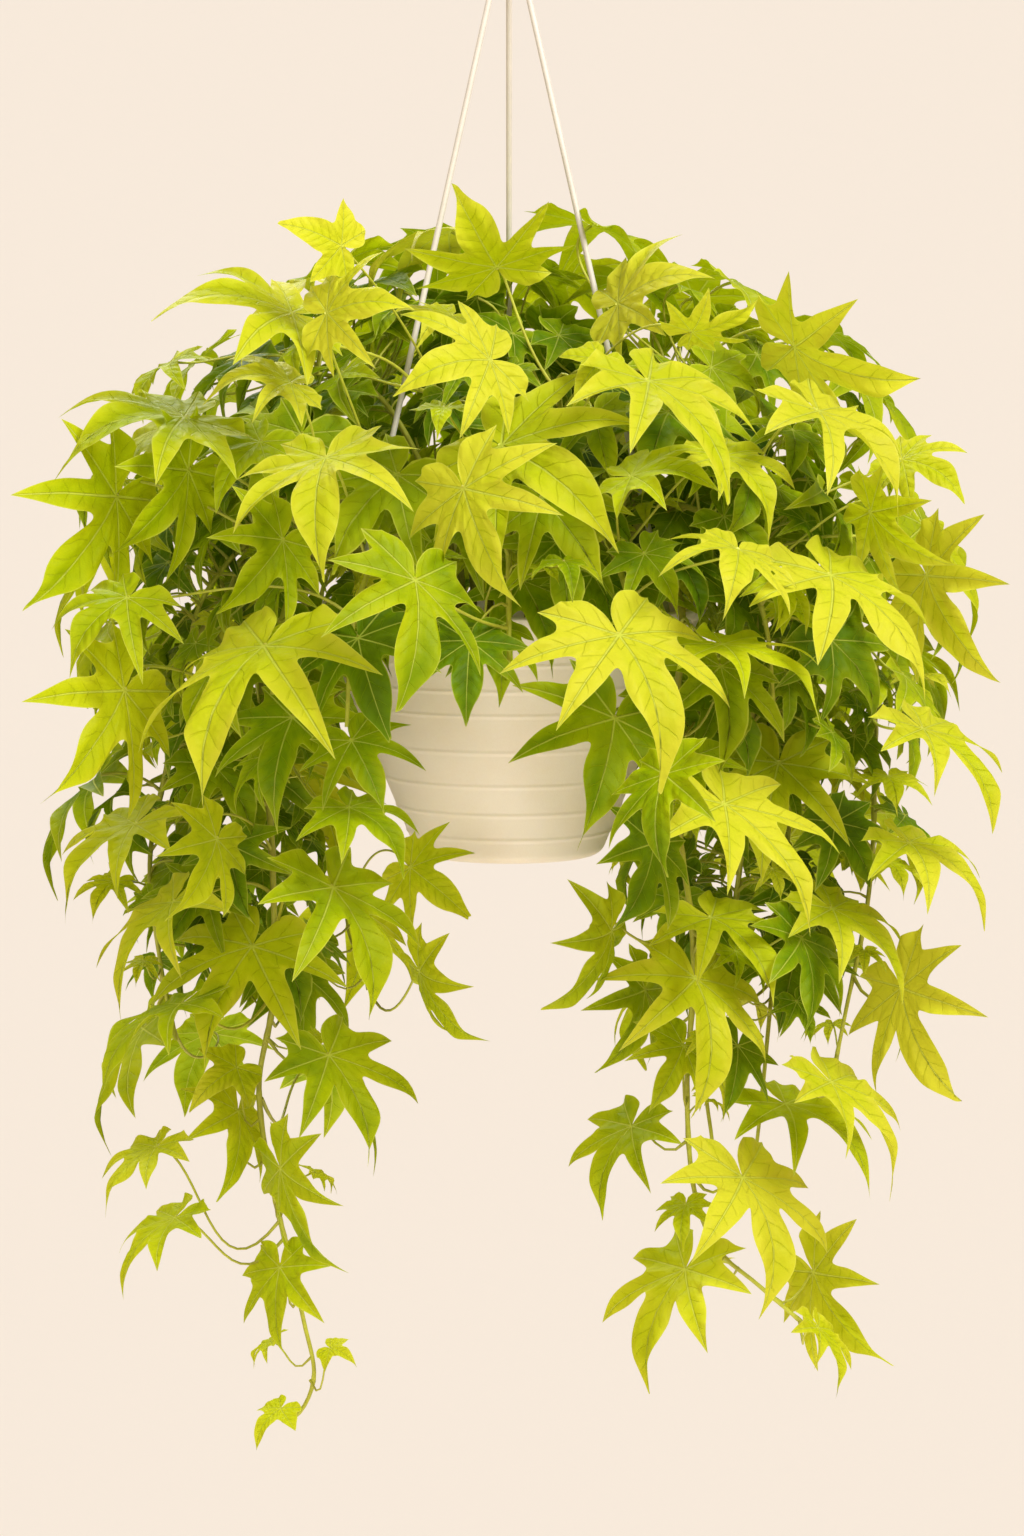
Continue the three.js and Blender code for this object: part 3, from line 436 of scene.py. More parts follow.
class Leaf:
    def __init__(self, base, along, length, facing, turn, seed, tone):
        self.base = base
        self.length = length
        self.along = unit(along)
        normal = unit(facing - self.along * np.dot(facing, self.along))
        self.normal = turned(normal, self.along, turn)
        self.side = np.cross(self.normal, self.along)
        self.arch = drawn(leafBend["arch"], seed)
        self.hang = drawn(leafBend["hang"], seed + 0.3)
        self.ridge = leafBend["ridge"] * (draw(seed + 0.6) - 0.3)
        self.seed = seed
        self.tone = tone
        medium, large = leafBend["lengths"]
        self.shape = "small" if length < medium else "medium" if length < large else "large"

    # How high the blade stands over its base at an angle and a distance
    def rise(self, angle, distance):
        turn = np.radians(angle)
        onward = distance * np.cos(turn)
        arch = self.arch * onward * (1 - onward) * np.where(onward < 0, leafBend["behind"], 1)
        hang = self.hang * (distance * np.sin(turn)) ** 2
        return arch - hang + self.ridge * np.cos(turn * 8) * np.minimum(distance, 0.5)

    def point(self, angle, distance):
        turn = math.radians(angle)
        flat = self.along * distance * math.cos(turn) + self.side * distance * math.sin(turn)
        return self.base + self.length * (flat + self.normal * self.rise(angle, distance))

    def stalk(self, root, bend):
        span = np.linalg.norm(self.base - root)
        behind, below = leafBend["arrive"]
        out = (self.base - root) * (1, 1, 0)
        if np.linalg.norm(out) > 1:
            out = unit(out)
        leave = root + out * span * bend[0] + vec(0, 0, span * bend[1])
        arrive = self.base - self.along * behind * span - self.normal * below * span
        return [root, leave, arrive, self.base]


def bezier(points, t):
    a, b, c, d = points
    return (a * (1 - t) ** 3 + b * 3 * t * (1 - t) ** 2 + c * 3 * t * t * (1 - t) + d * t ** 3)


def bezierTangent(points, t):
    a, b, c, d = points
    return unit((b - a) * (1 - t) ** 2 + (c - b) * 2 * t * (1 - t) + (d - c) * t * t)


# How a leaf is held: how much longer it is than it shows, how far it is turned about its
# middle lobe and how far its sides hang, as its side marks ask
stretches = (1.04, 1.1, 1.18, 1.3)
hangs = (0.1, 0.25, 0.4, 0.55)
turns = range(-72, 73, 4)
turnEase = 20       # degrees of turn that weigh as much as a miss of one pixel
freeTurn = 24


def attitude(marks, index):
    stalkMark, tipMark = marks[:2]
    given = ownStretches.get(stalkMark, usualStretch)
    best = (given, freeTurn * (draw(index + 0.9) - 0.5), None)
    sided = []
    for mark in marks[4:]:
        away = np.cross(np.subtract(tipMark, stalkMark), np.subtract(mark, stalkMark))
        sided.append((1 if away < 0 else -1, np.array(mark)))
    if not sided:
        return best
    least = math.inf
    for stretch in stretches if given == usualStretch and len(sided) > 1 else (given,):
        for hang in hangs:
            for turn in turns:
                leaf = frontLeaf(marks, index, 0, (stretch, turn, hang))
                angle, distance = besideTip[leaf.shape]
                miss = (turn / turnEase) ** 2
                for side, mark in sided:
                    miss += ((toPicture(leaf.point(side * angle, distance)) - mark) ** 2).sum()
                if miss < least:
                    least, best = miss, (stretch, turn, hang)
    return best


frontHold = {
    "backmost": 120,
    "sideways": 0.25,       # leaves that stand further back than this share point away
    "outward": 0.45,
    "upward": 0.3,
}


def frontLeaf(marks, index, slide, held):
    stalkMark, tipMark, layer, tone = marks[:4]
    stretch, turn, hang = held
    flat = fromPicture(stalkMark, 0)
    y = min(frontDepth(flat[0], flat[2]) + layerStep * layer, frontHold["backmost"]) + slide
    base = fromPicture(stalkMark, y)
    shown = fromPicture(tipMark, y) - base
    length = np.linalg.norm(shown) * stretch
    towards = math.sqrt(length ** 2 - np.dot(shown, shown))
    outwards = unit(base * (1, 1, 0))
    nearer = -1 if np.dot(outwards, toScene) < frontHold["sideways"] else 1
    facing = -toScene + outwards * frontHold["outward"] + vec(0, 0, frontHold["upward"])
    leaf = Leaf(base, shown + toScene * nearer * towards, length, facing, turn, index, tone)
    if hang is not None:
        leaf.hang = hang
    return leaf


goldenAngle = 137.508
spiral = {
    "count": 110,
    "reach": 1.25,          # how far down it winds, in heights of the dome
    "out": 0.84,            # shares of the dome's width and height
    "high": 0.88,
    "columnTop": -90,       # from the dome's middle
    "columnWide": 0.62,
    "columnDeep": 0.8,
    "columnBack": 40,
    "tone": 0.32,
}
spiralHold = {"length": (72, 36), "swing": 70, "out": 0.55, "fall": 0.25, "steepFall": 1.1,
              "tilt": 0.55, "turn": 30}


# Place i on a spiral down the dome, the way out from it and how steep the dome is there
def domePlace(i, count, reach, out, lift, high):
    rise = 1 - reach * (i + 0.5) / count
    azimuth = math.radians(goldenAngle * i)
    ring = math.sqrt(1 - rise * rise)
    at = vec(dome["wide"] * out * ring * math.cos(azimuth),
             dome["deep"] * out * ring * math.sin(azimuth),
             dome["middle"] + lift + dome["high"] * high * rise)
    return at, unit(at * (1, 1, 0)), 1 - 0.8 * max(rise, 0)


# The height of place i down a column and the way out from it
def columnPlace(i, count, top, bottom):
    z = top + (bottom - top) * (i + 0.5) / count
    azimuth = math.radians(goldenAngle * i)
    return z, vec(math.cos(azimuth), math.sin(azimuth), 0)


def spiralPlaces():
    count = spiral["count"]
    for i in range(count):
        place = domePlace(i, count, spiral["reach"], spiral["out"], 0, spiral["high"])
        yield (*place, 1000 + i)
    for column in columns:
        wide = column["wide"] * spiral["columnWide"]
        deep = column["deep"] * spiral["columnDeep"]
        top = dome["middle"] + spiral["columnTop"]
        for i in range(column["count"]):
            z, out = columnPlace(i, column["count"], top, column["bottom"])
            base = vec(column["x"] + wide * thinning(z) * out[0],
                       column["y"] + spiral["columnBack"] + deep * thinning(z) * out[1], z)
            yield base, out, 1, column["seed"] + i


# A leaf that no mark shows, held as `hold` says
def looseLeaf(at, out, steep, number, hold, tone):
    length = drawn(hold["length"], number + 0.11)
    swing = math.radians(hold["swing"] * (draw(number + 0.21) - 0.5))
    along = out * hold["out"] * math.cos(swing) + vec(-out[1], out[0], 0) * math.sin(swing)
    along[2] = -hold["fall"] - hold["steepFall"] * steep * math.cos(swing)
    facing = out * (0.5 + 0.6 * steep)
    facing[2] += 1.1 - hold["tilt"] * steep
    turn = hold["turn"] * (draw(number + 0.41) - 0.5)
    return Leaf(at, along, length, facing, turn, number, tone)


def spiralLeaf(place, slide):
    at, out, steep, seed = place
    tone = spiral["tone"] + 0.6 * draw(seed + 0.71) ** 1.5 + 0.3 * (1 - steep)
    return looseLeaf(at + out * slide, out, steep, seed, spiralHold, tone)


def bendsFor(leaf):
    return (bowBend,) + stalkBends if leaf.base[2] < lowLeaves else stalkBends


# The CAD vines' corners show which of a leaf's places was clear, and where its stalk starts
def cadCorners():
    corners = []
    for i, vine in enumerate(vines):
        data = nodes[vine.name].data
        flat = np.empty(len(data.vertices) * 3, np.float32)
        data.vertices.foreach_get("co", flat)
        corners += [(p, i) for p in flat.reshape(-1, 3)]
    tree = kdtree.KDTree(len(corners))
    for n, (p, i) in enumerate(corners):
        tree.insert(Vector(p), n)
    tree.balance()
    return tree, corners


cornerTree, corners = cadCorners()
near = 0.00005  # metres


def cornerAt(point):
    _, n, distance = cornerTree.find(Vector(point * mm))
    return corners[n][1] if distance < near else None


def rootOf(leaf, vine):
    for root in vine.roots:
        for bend in bendsFor(leaf):
            curve = leaf.stalk(root, bend)
            tangent = bezierTangent(curve, stalkKnee)
            across = leaf.side - tangent * np.dot(leaf.side, tangent)
            if np.linalg.norm(across) < 0.2:
                across = leaf.normal - tangent * np.dot(leaf.normal, tangent)
            across = unit(across) * stalkHalf
            over = unit(np.cross(tangent, across)) * stalkHalf
            if cornerAt(bezier(curve, stalkKnee) - across + over) is not None:
                return curve
    return None


# A leaf at the first of its places where the CAD model has it
def settle(make):
    for slide in slides:
        leaf = make(slide)
        tip = leaf.point(0, 1) + leaf.normal * bladeHalf
        vine = cornerAt(tip)
        if vine is not None and cornerAt(tip - leaf.normal * 2 * bladeHalf) == vine:
            leaf.curve = rootOf(leaf, vines[vine])
            vines[vine].leaves.append(leaf)
            return leaf
    return None


held = [attitude(marks, i) for i, marks in enumerate(frontLeaves)]
settled = [settle(lambda slide: frontLeaf(marks, i, slide, held[i]))
           for i, marks in enumerate(frontLeaves)]
unplaced = [frontLeaf(frontLeaves[i], i, 0, held[i])
            for i, leaf in enumerate(settled) if leaf is None]
print("front leaves found:", len(settled) - len(unplaced), "of", len(settled))
others = [settle(lambda slide: spiralLeaf(place, slide)) for place in spiralPlaces()]
print("other leaves found:", sum(leaf is not None for leaf in others), "of", len(others))


# Fine leaf blades: rings round a smooth lobed outline, bent as the CAD blade is

blade = {
    "fine": (3, (0, 0.2, 0.4, 0.6, 0.78, 0.91, 1)),   # outline steps between keys, and rings
    "plain": (1, (0, 0.33, 0.66, 0.9, 1)),            # the same for the small leaves
    "quilt": 0.034,         # how far the blade bulges between the lobes' ribs
    "ribWidth": 0.08,
    "ruffle": 0.032,
    "pleats": (0.008, 44),  # height and closeness of the folds across a lobe
    "tipDroop": 0.15,
    "droopFrom": 0.62,
    "sag": 0.3,             # how far the lobes' outer parts sink under their weight
    "sagFrom": 0.4,
    "vary": 0.07,           # change in the lobes' length from leaf to leaf
    "lobeAngle": 42,        # degrees of the outline that change together
    "skew": 3,              # degrees that a half of the outline may be turned
    "heart": np.array([0.012, 0.0]),  # where the ribs meet
}
outlineKeys = {  # half of the outline, from the stalk to the middle tip: angle, distance
    "large": [(174, 0.05), (170, 0.16), (161, 0.28), (150, 0.36), (140, 0.405), (132.5, 0.43),
              (126.5, 0.5), (122, 0.425), (115, 0.38), (107, 0.39), (99.5, 0.48), (93.4, 0.6),
              (89, 0.72), (85.4, 0.6), (79.8, 0.46), (75.6, 0.395), (70.5, 0.368), (65.8, 0.39),
              (62.6, 0.46), (59.6, 0.57), (55.4, 0.71), (50.5, 0.89), (47.9, 0.76), (43.4, 0.61),
              (38.4, 0.47), (35, 0.38), (31.4, 0.336), (26.8, 0.336), (23.4, 0.38), (20.6, 0.48),
              (16, 0.61), (10.6, 0.73), (5.4, 0.82), (2.2, 0.9), (0.75, 0.955)],
    "medium": [(174, 0.05), (170, 0.16), (160, 0.28), (148, 0.36), (137, 0.4), (129.5, 0.42),
               (123.5, 0.485), (119, 0.415), (111.5, 0.375), (102.5, 0.42), (94.6, 0.55),
               (88, 0.71), (83, 0.58), (77.8, 0.47), (73.6, 0.42), (68.5, 0.402), (64, 0.42), (60.8, 0.475),
               (57, 0.585), (52.2, 0.74), (48, 0.88), (45.2, 0.745), (40.4, 0.59), (36.6, 0.475),
               (34.4, 0.42), (31.4, 0.392), (27, 0.39), (23.6, 0.422), (20.6, 0.5), (15.8, 0.62),
               (10.4, 0.73), (5.2, 0.82), (2.1, 0.9), (0.75, 0.955)],
    "small": [(174, 0.05), (168, 0.17), (156, 0.31), (141, 0.39), (127, 0.42), (114, 0.43),
              (97, 0.43), (81, 0.54), (68, 0.7), (60.4, 0.57), (51, 0.44), (45.4, 0.385),
              (39.5, 0.362), (34, 0.375), (29.4, 0.42), (21, 0.53), (13.8, 0.65), (7.8, 0.77),
              (2.9, 0.88), (0.9, 0.95)],
}
tipAngles = {"large": (126.5, 89, 50.5), "medium": (123.5, 88, 48), "small": (68,)}
# The outline's points at the lobes' tips, where the ribs end
lobeKeys = {
    shape: [i for i, key in enumerate(keys) if key[0] in tipAngles[shape]]
    + ([next(i for i, key in enumerate(keys) if key[0] < 130)] if shape == "small" else [])
    + [len(keys)]
    for shape, keys in outlineKeys.items()
}


# Half of the outline as points: smooth between the keys, sharp at the lobes' tips
def halfOutline(shape, seed, perSpan):
    keys = outlineKeys[shape]
    points = []
    sharp = []
    for i, (angle, distance) in enumerate(keys):
        lobe = draw(seed + round(angle / blade["lobeAngle"]) * 0.37)
        grow = 1 + blade["vary"] * 2 * (lobe - 0.5) * min(distance * 1.5, 1)
        turn = math.radians(angle + blade["skew"] * (draw(seed + 0.83) - 0.5))
        points.append(vec(math.cos(turn), math.sin(turn)) * distance * grow)
        sharp.append(angle in tipAngles[shape])
    points = [vec(0, 0)] + points + [vec(1, 0)]
    sharp = [True] + sharp + [True]
    slopes = []
    for i in range(len(points)):
        before = points[i] - points[i - 1] if i > 0 else points[1] - points[0]
        after = points[i + 1] - points[i] if i < len(points) - 1 else before
        slopes.append((before, after) if sharp[i] else ((before + after) / 2,) * 2)
    out = []
    for i in range(len(points) - 1):
        m1, m2 = slopes[i][1], slopes[i + 1][0]
        p1, p2 = points[i], points[i + 1]
        steps = perSpan if i > 0 else 1
        for k in range(steps):
            w = k / steps
            out.append(p1 * (1 + 2 * w) * (1 - w) ** 2 + m1 * w * (1 - w) ** 2
                       + p2 * w * w * (3 - 2 * w) + m2 * w * w * (w - 1))
    out.append(points[-1])
    return np.array(out[1:])


# How far each point is from the edge
def edgeDistance(flat, edge):
    a, b = edge[:-1], edge[1:]
    ab = b - a
    ap = flat[:, None, :] - a[None]
    t = np.clip((ap * ab).sum(-1) / np.maximum((ab * ab).sum(-1), 1e-12), 0, 1)
    return np.linalg.norm(ap - t[..., None] * ab, axis=-1).min(axis=1)


def bladeMesh(leaf, grade="fine"):
    perSpan, rings = blade[grade]
    left = halfOutline(leaf.shape, leaf.seed, perSpan)
    right = halfOutline(leaf.shape, leaf.seed + 0.47, perSpan) * (1, -1)
    outline = np.concatenate([left, right[::-1][1:]])
    count = len(outline)
    flat = [blade["heart"]]
    ringOf = [0]
    for ring in rings[1:]:
        flat += list(blade["heart"] + (outline - blade["heart"]) * ring)
        ringOf += [ring] * count
    flat = np.array(flat)
    ringOf = np.array(ringOf)
    faces = [(0, 1 + i + 1, 1 + i) for i in range(count - 1)]
    for r in range(len(rings) - 2):
        start = 1 + r * count
        faces += [(start + i, start + i + 1, start + count + i + 1, start + count + i)
                  for i in range(count - 1)]
    edge = edgeDistance(flat, np.concatenate([outline, outline[:1]])) * leaf.length
    edge[1 + (len(rings) - 2) * count:] = 0
    angle = np.degrees(np.arctan2(flat[:, 1], flat[:, 0]))
    distance = np.linalg.norm(flat, axis=1)
    reach, across = ribPlace(leaf, flat, left[::perSpan], right[::perSpan])
    height = leaf.rise(angle, distance)
    height = height + bladeRelief(leaf, angle, distance, reach, across, ringOf)
    spot = leaf.length * (flat[:, :1] * leaf.along + flat[:, 1:] * leaf.side
                          + height[:, None] * leaf.normal)
    ways = np.cos(np.radians(angle))[:, None] * leaf.along
    ways = ways + np.sin(np.radians(angle))[:, None] * leaf.side
    sink = leaf.length * blade["sag"] * np.maximum(reach - blade["sagFrom"], 0) ** 2
    spot += sink[:, None] * (ways * ways[:, 2:] - (0, 0, 1))
    return leaf.base + spot, faces, np.column_stack([reach, across, edge])


# How far each point is along the nearest lobe's rib and away from it
def ribPlace(leaf, flat, left, right):
    lobes = lobeKeys[leaf.shape]
    reach = np.full(len(flat), -1.0)
    across = np.full(len(flat), 9.0)
    for half in (left, right):
        for key in lobes:
            tip = half[key]
            axis = unit(tip - blade["heart"])
            rel = flat - blade["heart"]
            along = rel @ axis
            away = np.abs(rel[:, 0] * axis[1] - rel[:, 1] * axis[0])
            closer = (away < across) & (along > -0.01)
            reach[closer] = along[closer]
            across[closer] = away[closer]
    return np.maximum(reach, 0), np.minimum(across, 1)


# What the real blade adds to the CAD blade's bend: ribs in valleys, wavy edges, hanging tips
def bladeRelief(leaf, angle, distance, reach, across, ringOf):
    valley = 1 - np.exp(-(across / blade["ribWidth"]) ** 2)
    relief = blade["quilt"] * valley * np.minimum(distance * 3, 1)
    turn = np.radians(angle)
    wave = np.sin(turn * (7 + 4 * draw(leaf.seed + 0.13)) + 6.3 * draw(leaf.seed + 0.17))
    wave = wave + 0.6 * np.sin(turn * 17 + 6.3 * draw(leaf.seed + 0.19))
    relief = relief + blade["ruffle"] * wave * ringOf ** 3 * np.minimum(distance * 2, 1)
    high, close = blade["pleats"]
    relief = relief + high * np.sin(reach * close) * valley * ringOf * (1 - ringOf) * 4
    droop = blade["tipDroop"] * (0.4 + draw(leaf.seed + 0.23))
    return relief - droop * np.maximum(reach - blade["droopFrom"], 0) ** 2 * 4


# Node trees, for materials and for geometry

class NodeMaker:
    def __init__(self, tree):
        self.tree = tree

    def feed(self, socket, value):
        if isinstance(value, bpy.types.Node):
            value = value.outputs[0]
        if isinstance(value, bpy.types.NodeSocket):
            self.tree.links.new(value, socket)
        elif value is not None:
            socket.default_value = value

    def fill(self, node, inputs):
        for key, value in inputs.items():
            self.feed(node.inputs[key], value)

    def add(self, kind, inputs=None, **settings):
        node = self.tree.nodes.new(kind)
        for name, value in settings.items():
            setattr(node, name, value)
        self.fill(node, inputs or {})
        return node

    def math(self, operation, a, b=None, c=None):
        return self.add("ShaderNodeMath", {0: a, 1: b, 2: c}, operation=operation)

    def times(self, a, b):
        return self.math("MULTIPLY", a, b)

    def plus(self, a, b):
        return self.math("ADD", a, b)

    def minus(self, a, b):
        return self.math("SUBTRACT", a, b)

    def scaled(self, value, factor, offset):
        return self.math("MULTIPLY_ADD", value, factor, offset)

    # The sum of values, each with its weight
    def total(self, *parts):
        level = 0.0
        for value, weight in parts:
            level = self.scaled(value, weight, level)
        return level

    def smooth(self, value, low, high):
        return self.add("ShaderNodeMapRange", {"Value": value, "From Min": low, "From Max": high},
                        interpolation_type="SMOOTHSTEP")

    def noise(self, scale, detail=2.0, roughness=0.5):
        spot = self.add("ShaderNodeTexCoord").outputs["Object"]
        return self.add("ShaderNodeTexNoise", {"Vector": spot, "Scale": scale, "Detail": detail,
                                               "Roughness": roughness})

    def ramp(self, value, stops):
        node = self.add("ShaderNodeValToRGB", {0: value})
        band = node.color_ramp.elements
        while len(band) < len(stops):
            band.new(0.5)
        for element, (place, color) in zip(band, stops):
            element.position = place
            element.color = color
        return node

    def mix(self, share, a, b):
        node = self.add("ShaderNodeMix", data_type="RGBA")
        for socket, value in zip([s for s in node.inputs if s.enabled], (share, a, b)):
            self.feed(socket, value)
        return next(s for s in node.outputs if s.enabled)

    def bump(self, height, strength, distance):
        return self.add("ShaderNodeBump", {"Height": height, "Strength": strength,
                                           "Distance": distance})

    def given(self, name, output):
        return self.add("ShaderNodeAttribute", attribute_name=name).outputs[output]


# A colour as a picture shows it, from 0 to 255
def srgb(r, g, b):
    linear = [(v / 255 / 12.92) if v < 10.4 else ((v / 255 + 0.055) / 1.055) ** 2.4
              for v in (r, g, b)]
    return (*linear, 1)


def startMaterial(name):
    material = bpy.data.materials.new(name)
    material.use_nodes = True
    make = NodeMaker(material.node_tree)
    shader = material.node_tree.nodes["Principled BSDF"]
    return material, make, shader


leafLook = {
    "colors": [(0.0, srgb(42, 74, 0)), (0.25, srgb(97, 132, 0)), (0.5, srgb(161, 180, 4)),
               (0.75, srgb(192, 202, 18)), (1.0, srgb(213, 213, 52))],
    "rib": srgb(210, 222, 98),
    "margin": srgb(220, 222, 96),
    "glow": srgb(186, 214, 6),
    "veins": 7.0,            # side veins along the length of a leaf
    "slant": 0.85,           # how far a side vein runs forward
    "mottles": ((34, 2, 0.3), (13, 0, 0.44)),  # scale, detail and strength
    "through": 0.36,         # share of the light that shines through
    "specular": 0.16,
    "gloss": (0.2, 0.46),
    "bump": (0.65, 0.002),
}


def leafMaterial():
    material, make, shader = startMaterial("leaf")
    tone = make.given("tone", "Fac")
    parts = make.add("ShaderNodeSeparateXYZ", {0: make.given("rib", "Vector")}).outputs
    reach, across, edge = parts[0], parts[1], parts[2]
    thick = make.scaled(reach, -0.0075, 0.0125)
    ribLine = make.minus(1, make.smooth(make.math("DIVIDE", across, thick), 0.35, 1.0))
    curve = make.times(make.math("POWER", across, 2), 1.1)
    wander = make.scaled(make.noise(60, 0), 0.07, -0.035)
    along = make.scaled(across, -leafLook["slant"], reach)
    along = make.plus(make.minus(along, curve), wander)
    saw = make.math("FRACT", make.times(along, leafLook["veins"]))
    apart = make.math("ABSOLUTE", make.minus(saw, 0.5))
    sideVein = make.minus(1, make.smooth(apart, 0.012, 0.05))
    sideVein = make.times(sideVein, make.smooth(edge, 0.5, 7))

    # colour: dark green to yellow, with mottles, paler ribs and a pale rim; a painted highlight on the
    # bulges between the side veins, and painted shade in the sunken side veins of yellow leaves
    # lighter away from the side veins: a painted highlight on the bulges between them
    level = make.plus(tone, make.scaled(apart, 0.05, -0.012))
    for scale, detail, strength in leafLook["mottles"]:
        mottle = make.scaled(make.noise(scale, detail), strength, -strength / 2)
        level = make.plus(level, mottle)
    yellowing = make.times(make.minus(1, make.smooth(edge, 0, 10)), 0.13)
    # side veins paler on green leaves, which is their own colour, and darker on yellow leaves, which is
    # painted shade in the sunken veins
    veinPaleAndShade = make.times(sideVein, make.scaled(tone, -0.27, 0.18))
    level = make.plus(make.plus(level, yellowing), veinPaleAndShade)
    color = make.ramp(level, leafLook["colors"])
    color = make.mix(make.times(ribLine, 0.6), color, leafLook["rib"])
    rim = make.minus(1, make.smooth(edge, 0.2, 0.8))
    color = make.mix(make.times(rim, 0.45), color, leafLook["margin"])

    # relief: sunken ribs and side veins, bulges between them, fine skin
    height = make.total((ribLine, -1.3), (sideVein, -0.7), (make.smooth(apart, 0.0, 0.5), 0.3),
                        (make.noise(120, 1), 1.2), (make.noise(700, 0), 0.1))
    bump = make.bump(height, *leafLook["bump"])
    gloss = make.scaled(make.noise(90, 0), *leafLook["gloss"])
    make.fill(shader, {"Base Color": color, "Roughness": gloss, "Normal": bump,
                       "Specular IOR Level": leafLook["specular"]})
    glow = make.mix(0.4, color, leafLook["glow"])
    through = make.add("ShaderNodeBsdfTranslucent", {"Color": glow, "Normal": bump})
    both = make.add("ShaderNodeMixShader", {0: leafLook["through"], 1: shader, 2: through})
    make.fill(material.node_tree.nodes["Material Output"], {"Surface": both})
    return material


stemLook = {
    "colors": [(0.0, srgb(118, 104, 38)), (0.35, srgb(156, 156, 46)), (0.7, srgb(190, 196, 58)),
               (1.0, srgb(216, 220, 94))],
    "gloss": (0.2, 0.4),
    "bump": (0.4, 0.0005),
}


def stemMaterial():
    material, make, shader = startMaterial("stem")
    mottle = make.scaled(make.noise(120, 3), 0.5, -0.25)
    color = make.ramp(make.plus(make.given("tone", "Fac"), mottle), stemLook["colors"])
    gloss = make.scaled(make.noise(200, 2), *stemLook["gloss"])
    height = make.total((make.noise(900, 3), 1.0), (make.noise(260, 2), 1.5))
    make.fill(shader, {"Base Color": color, "Roughness": gloss,
                       "Normal": make.bump(height, *stemLook["bump"])})
    return material


leafGreen = leafMaterial()
stemGreen = stemMaterial()


def startTree(name, inputs):
    tree = bpy.data.node_groups.new(name, "GeometryNodeTree")
    tree.interface.new_socket("Geometry", in_out="INPUT", socket_type="NodeSocketGeometry")
    tree.interface.new_socket("Geometry", in_out="OUTPUT", socket_type="NodeSocketGeometry")
    for label, kind in inputs:
        tree.interface.new_socket(label, in_out="INPUT", socket_type="NodeSocket" + kind)
    return tree, NodeMaker(tree), tree.nodes.new("NodeGroupInput")


def endTree(make, geometry, material):
    whole = make.add("GeometryNodeRealizeInstances", {0: geometry})
    coloured = make.add("GeometryNodeSetMaterial", {"Geometry": whole, "Material": material})
    out = make.tree.nodes.new("NodeGroupOutput")
    make.feed(out.inputs[0], coloured)


# Runs a tree on an object and keeps the result as a plain mesh
def bake(piece, tree, values):
    modifier = piece.modifiers.new(tree.name, "NODES")
    modifier.node_group = tree
    for item in tree.interface.items_tree:
        if item.in_out == "INPUT" and item.name in values:
            modifier[item.identifier] = values[item.name]
    graph = bpy.context.evaluated_depsgraph_get()
    mesh = bpy.data.meshes.new_from_object(piece.evaluated_get(graph))
    piece.modifiers.clear()
    old = piece.data
    piece.data = mesh
    bpy.data.meshes.remove(old)
    mesh.name = piece.name
    return piece


def attribute(make, name, kind="FLOAT"):
    return make.add("GeometryNodeInputNamedAttribute", {"Name": name}, data_type=kind)


# Tubes along the edges of a mesh, as thick as its points say
def tubeTree():
    tree, make, given = startTree("tubesAlongLines", [
        ("Sides", "Int"), ("Thickness scale", "Float"), ("Material", "Material")])
    lines = make.add("GeometryNodeMeshToCurve", {"Mesh": given.outputs["Geometry"]})
    radius = make.times(attribute(make, "thickness"), given.outputs["Thickness scale"])
    section = make.add("GeometryNodeCurvePrimitiveCircle",
                       {"Resolution": given.outputs["Sides"], "Radius": 1.0})
    tubes = make.add("GeometryNodeCurveToMesh",
                     {"Curve": lines, "Profile Curve": section, "Scale": radius,
                      "Fill Caps": True})
    tubes = make.add("GeometryNodeSetShadeSmooth", {"Geometry": tubes})
    endTree(make, tubes, given.outputs["Material"])
    return tree


# Small leaves set on points, each turned, sized and toned as its point says
def leafletTree():
    tree, make, given = startTree("leafletsOnPoints", [
        ("Kinds", "Collection"), ("Size", "Float"), ("Material", "Material")])
    points = make.add("GeometryNodeMeshToPoints", {"Mesh": given.outputs["Geometry"]})
    kinds = make.add("GeometryNodeCollectionInfo",
                     {"Collection": given.outputs["Kinds"], "Separate Children": True,
                      "Reset Children": True})
    aim = make.add("FunctionNodeAlignRotationToVector",
                   {"Vector": attribute(make, "aim", "FLOAT_VECTOR")}, axis="X")
    turn = make.add("FunctionNodeAlignRotationToVector",
                    {"Rotation": aim, "Vector": attribute(make, "facing", "FLOAT_VECTOR")},
                    axis="Z", pivot_axis="X")
    size = make.times(attribute(make, "size"), given.outputs["Size"])
    leaves = make.add("GeometryNodeInstanceOnPoints", {
        "Points": points, "Instance": kinds, "Pick Instance": True,
        "Instance Index": attribute(make, "kind", "INT"), "Rotation": turn, "Scale": size})
    endTree(make, leaves, given.outputs["Material"])
    return tree


tubes = tubeTree()
leaflets = leafletTree()


def newObject(name, mesh):
    piece = bpy.data.objects.new(name, mesh)
    bpy.context.scene.collection.objects.link(piece)
    return piece


def setAttribute(mesh, name, kind, values):
    layer = mesh.attributes.new(name, kind, "POINT")
    field = "vector" if kind == "FLOAT_VECTOR" else "value"
    layer.data.foreach_set(field, np.asarray(values, float).ravel() if kind != "INT" else values)


def join(name, pieces):
    for piece in bpy.context.selected_objects:
        piece.select_set(False)
    for piece in pieces:
        piece.select_set(True)
    bpy.context.view_layer.objects.active = pieces[0]
    bpy.ops.object.join()
    pieces[0].name = name
    pieces[0].data.name = name
    return pieces[0]


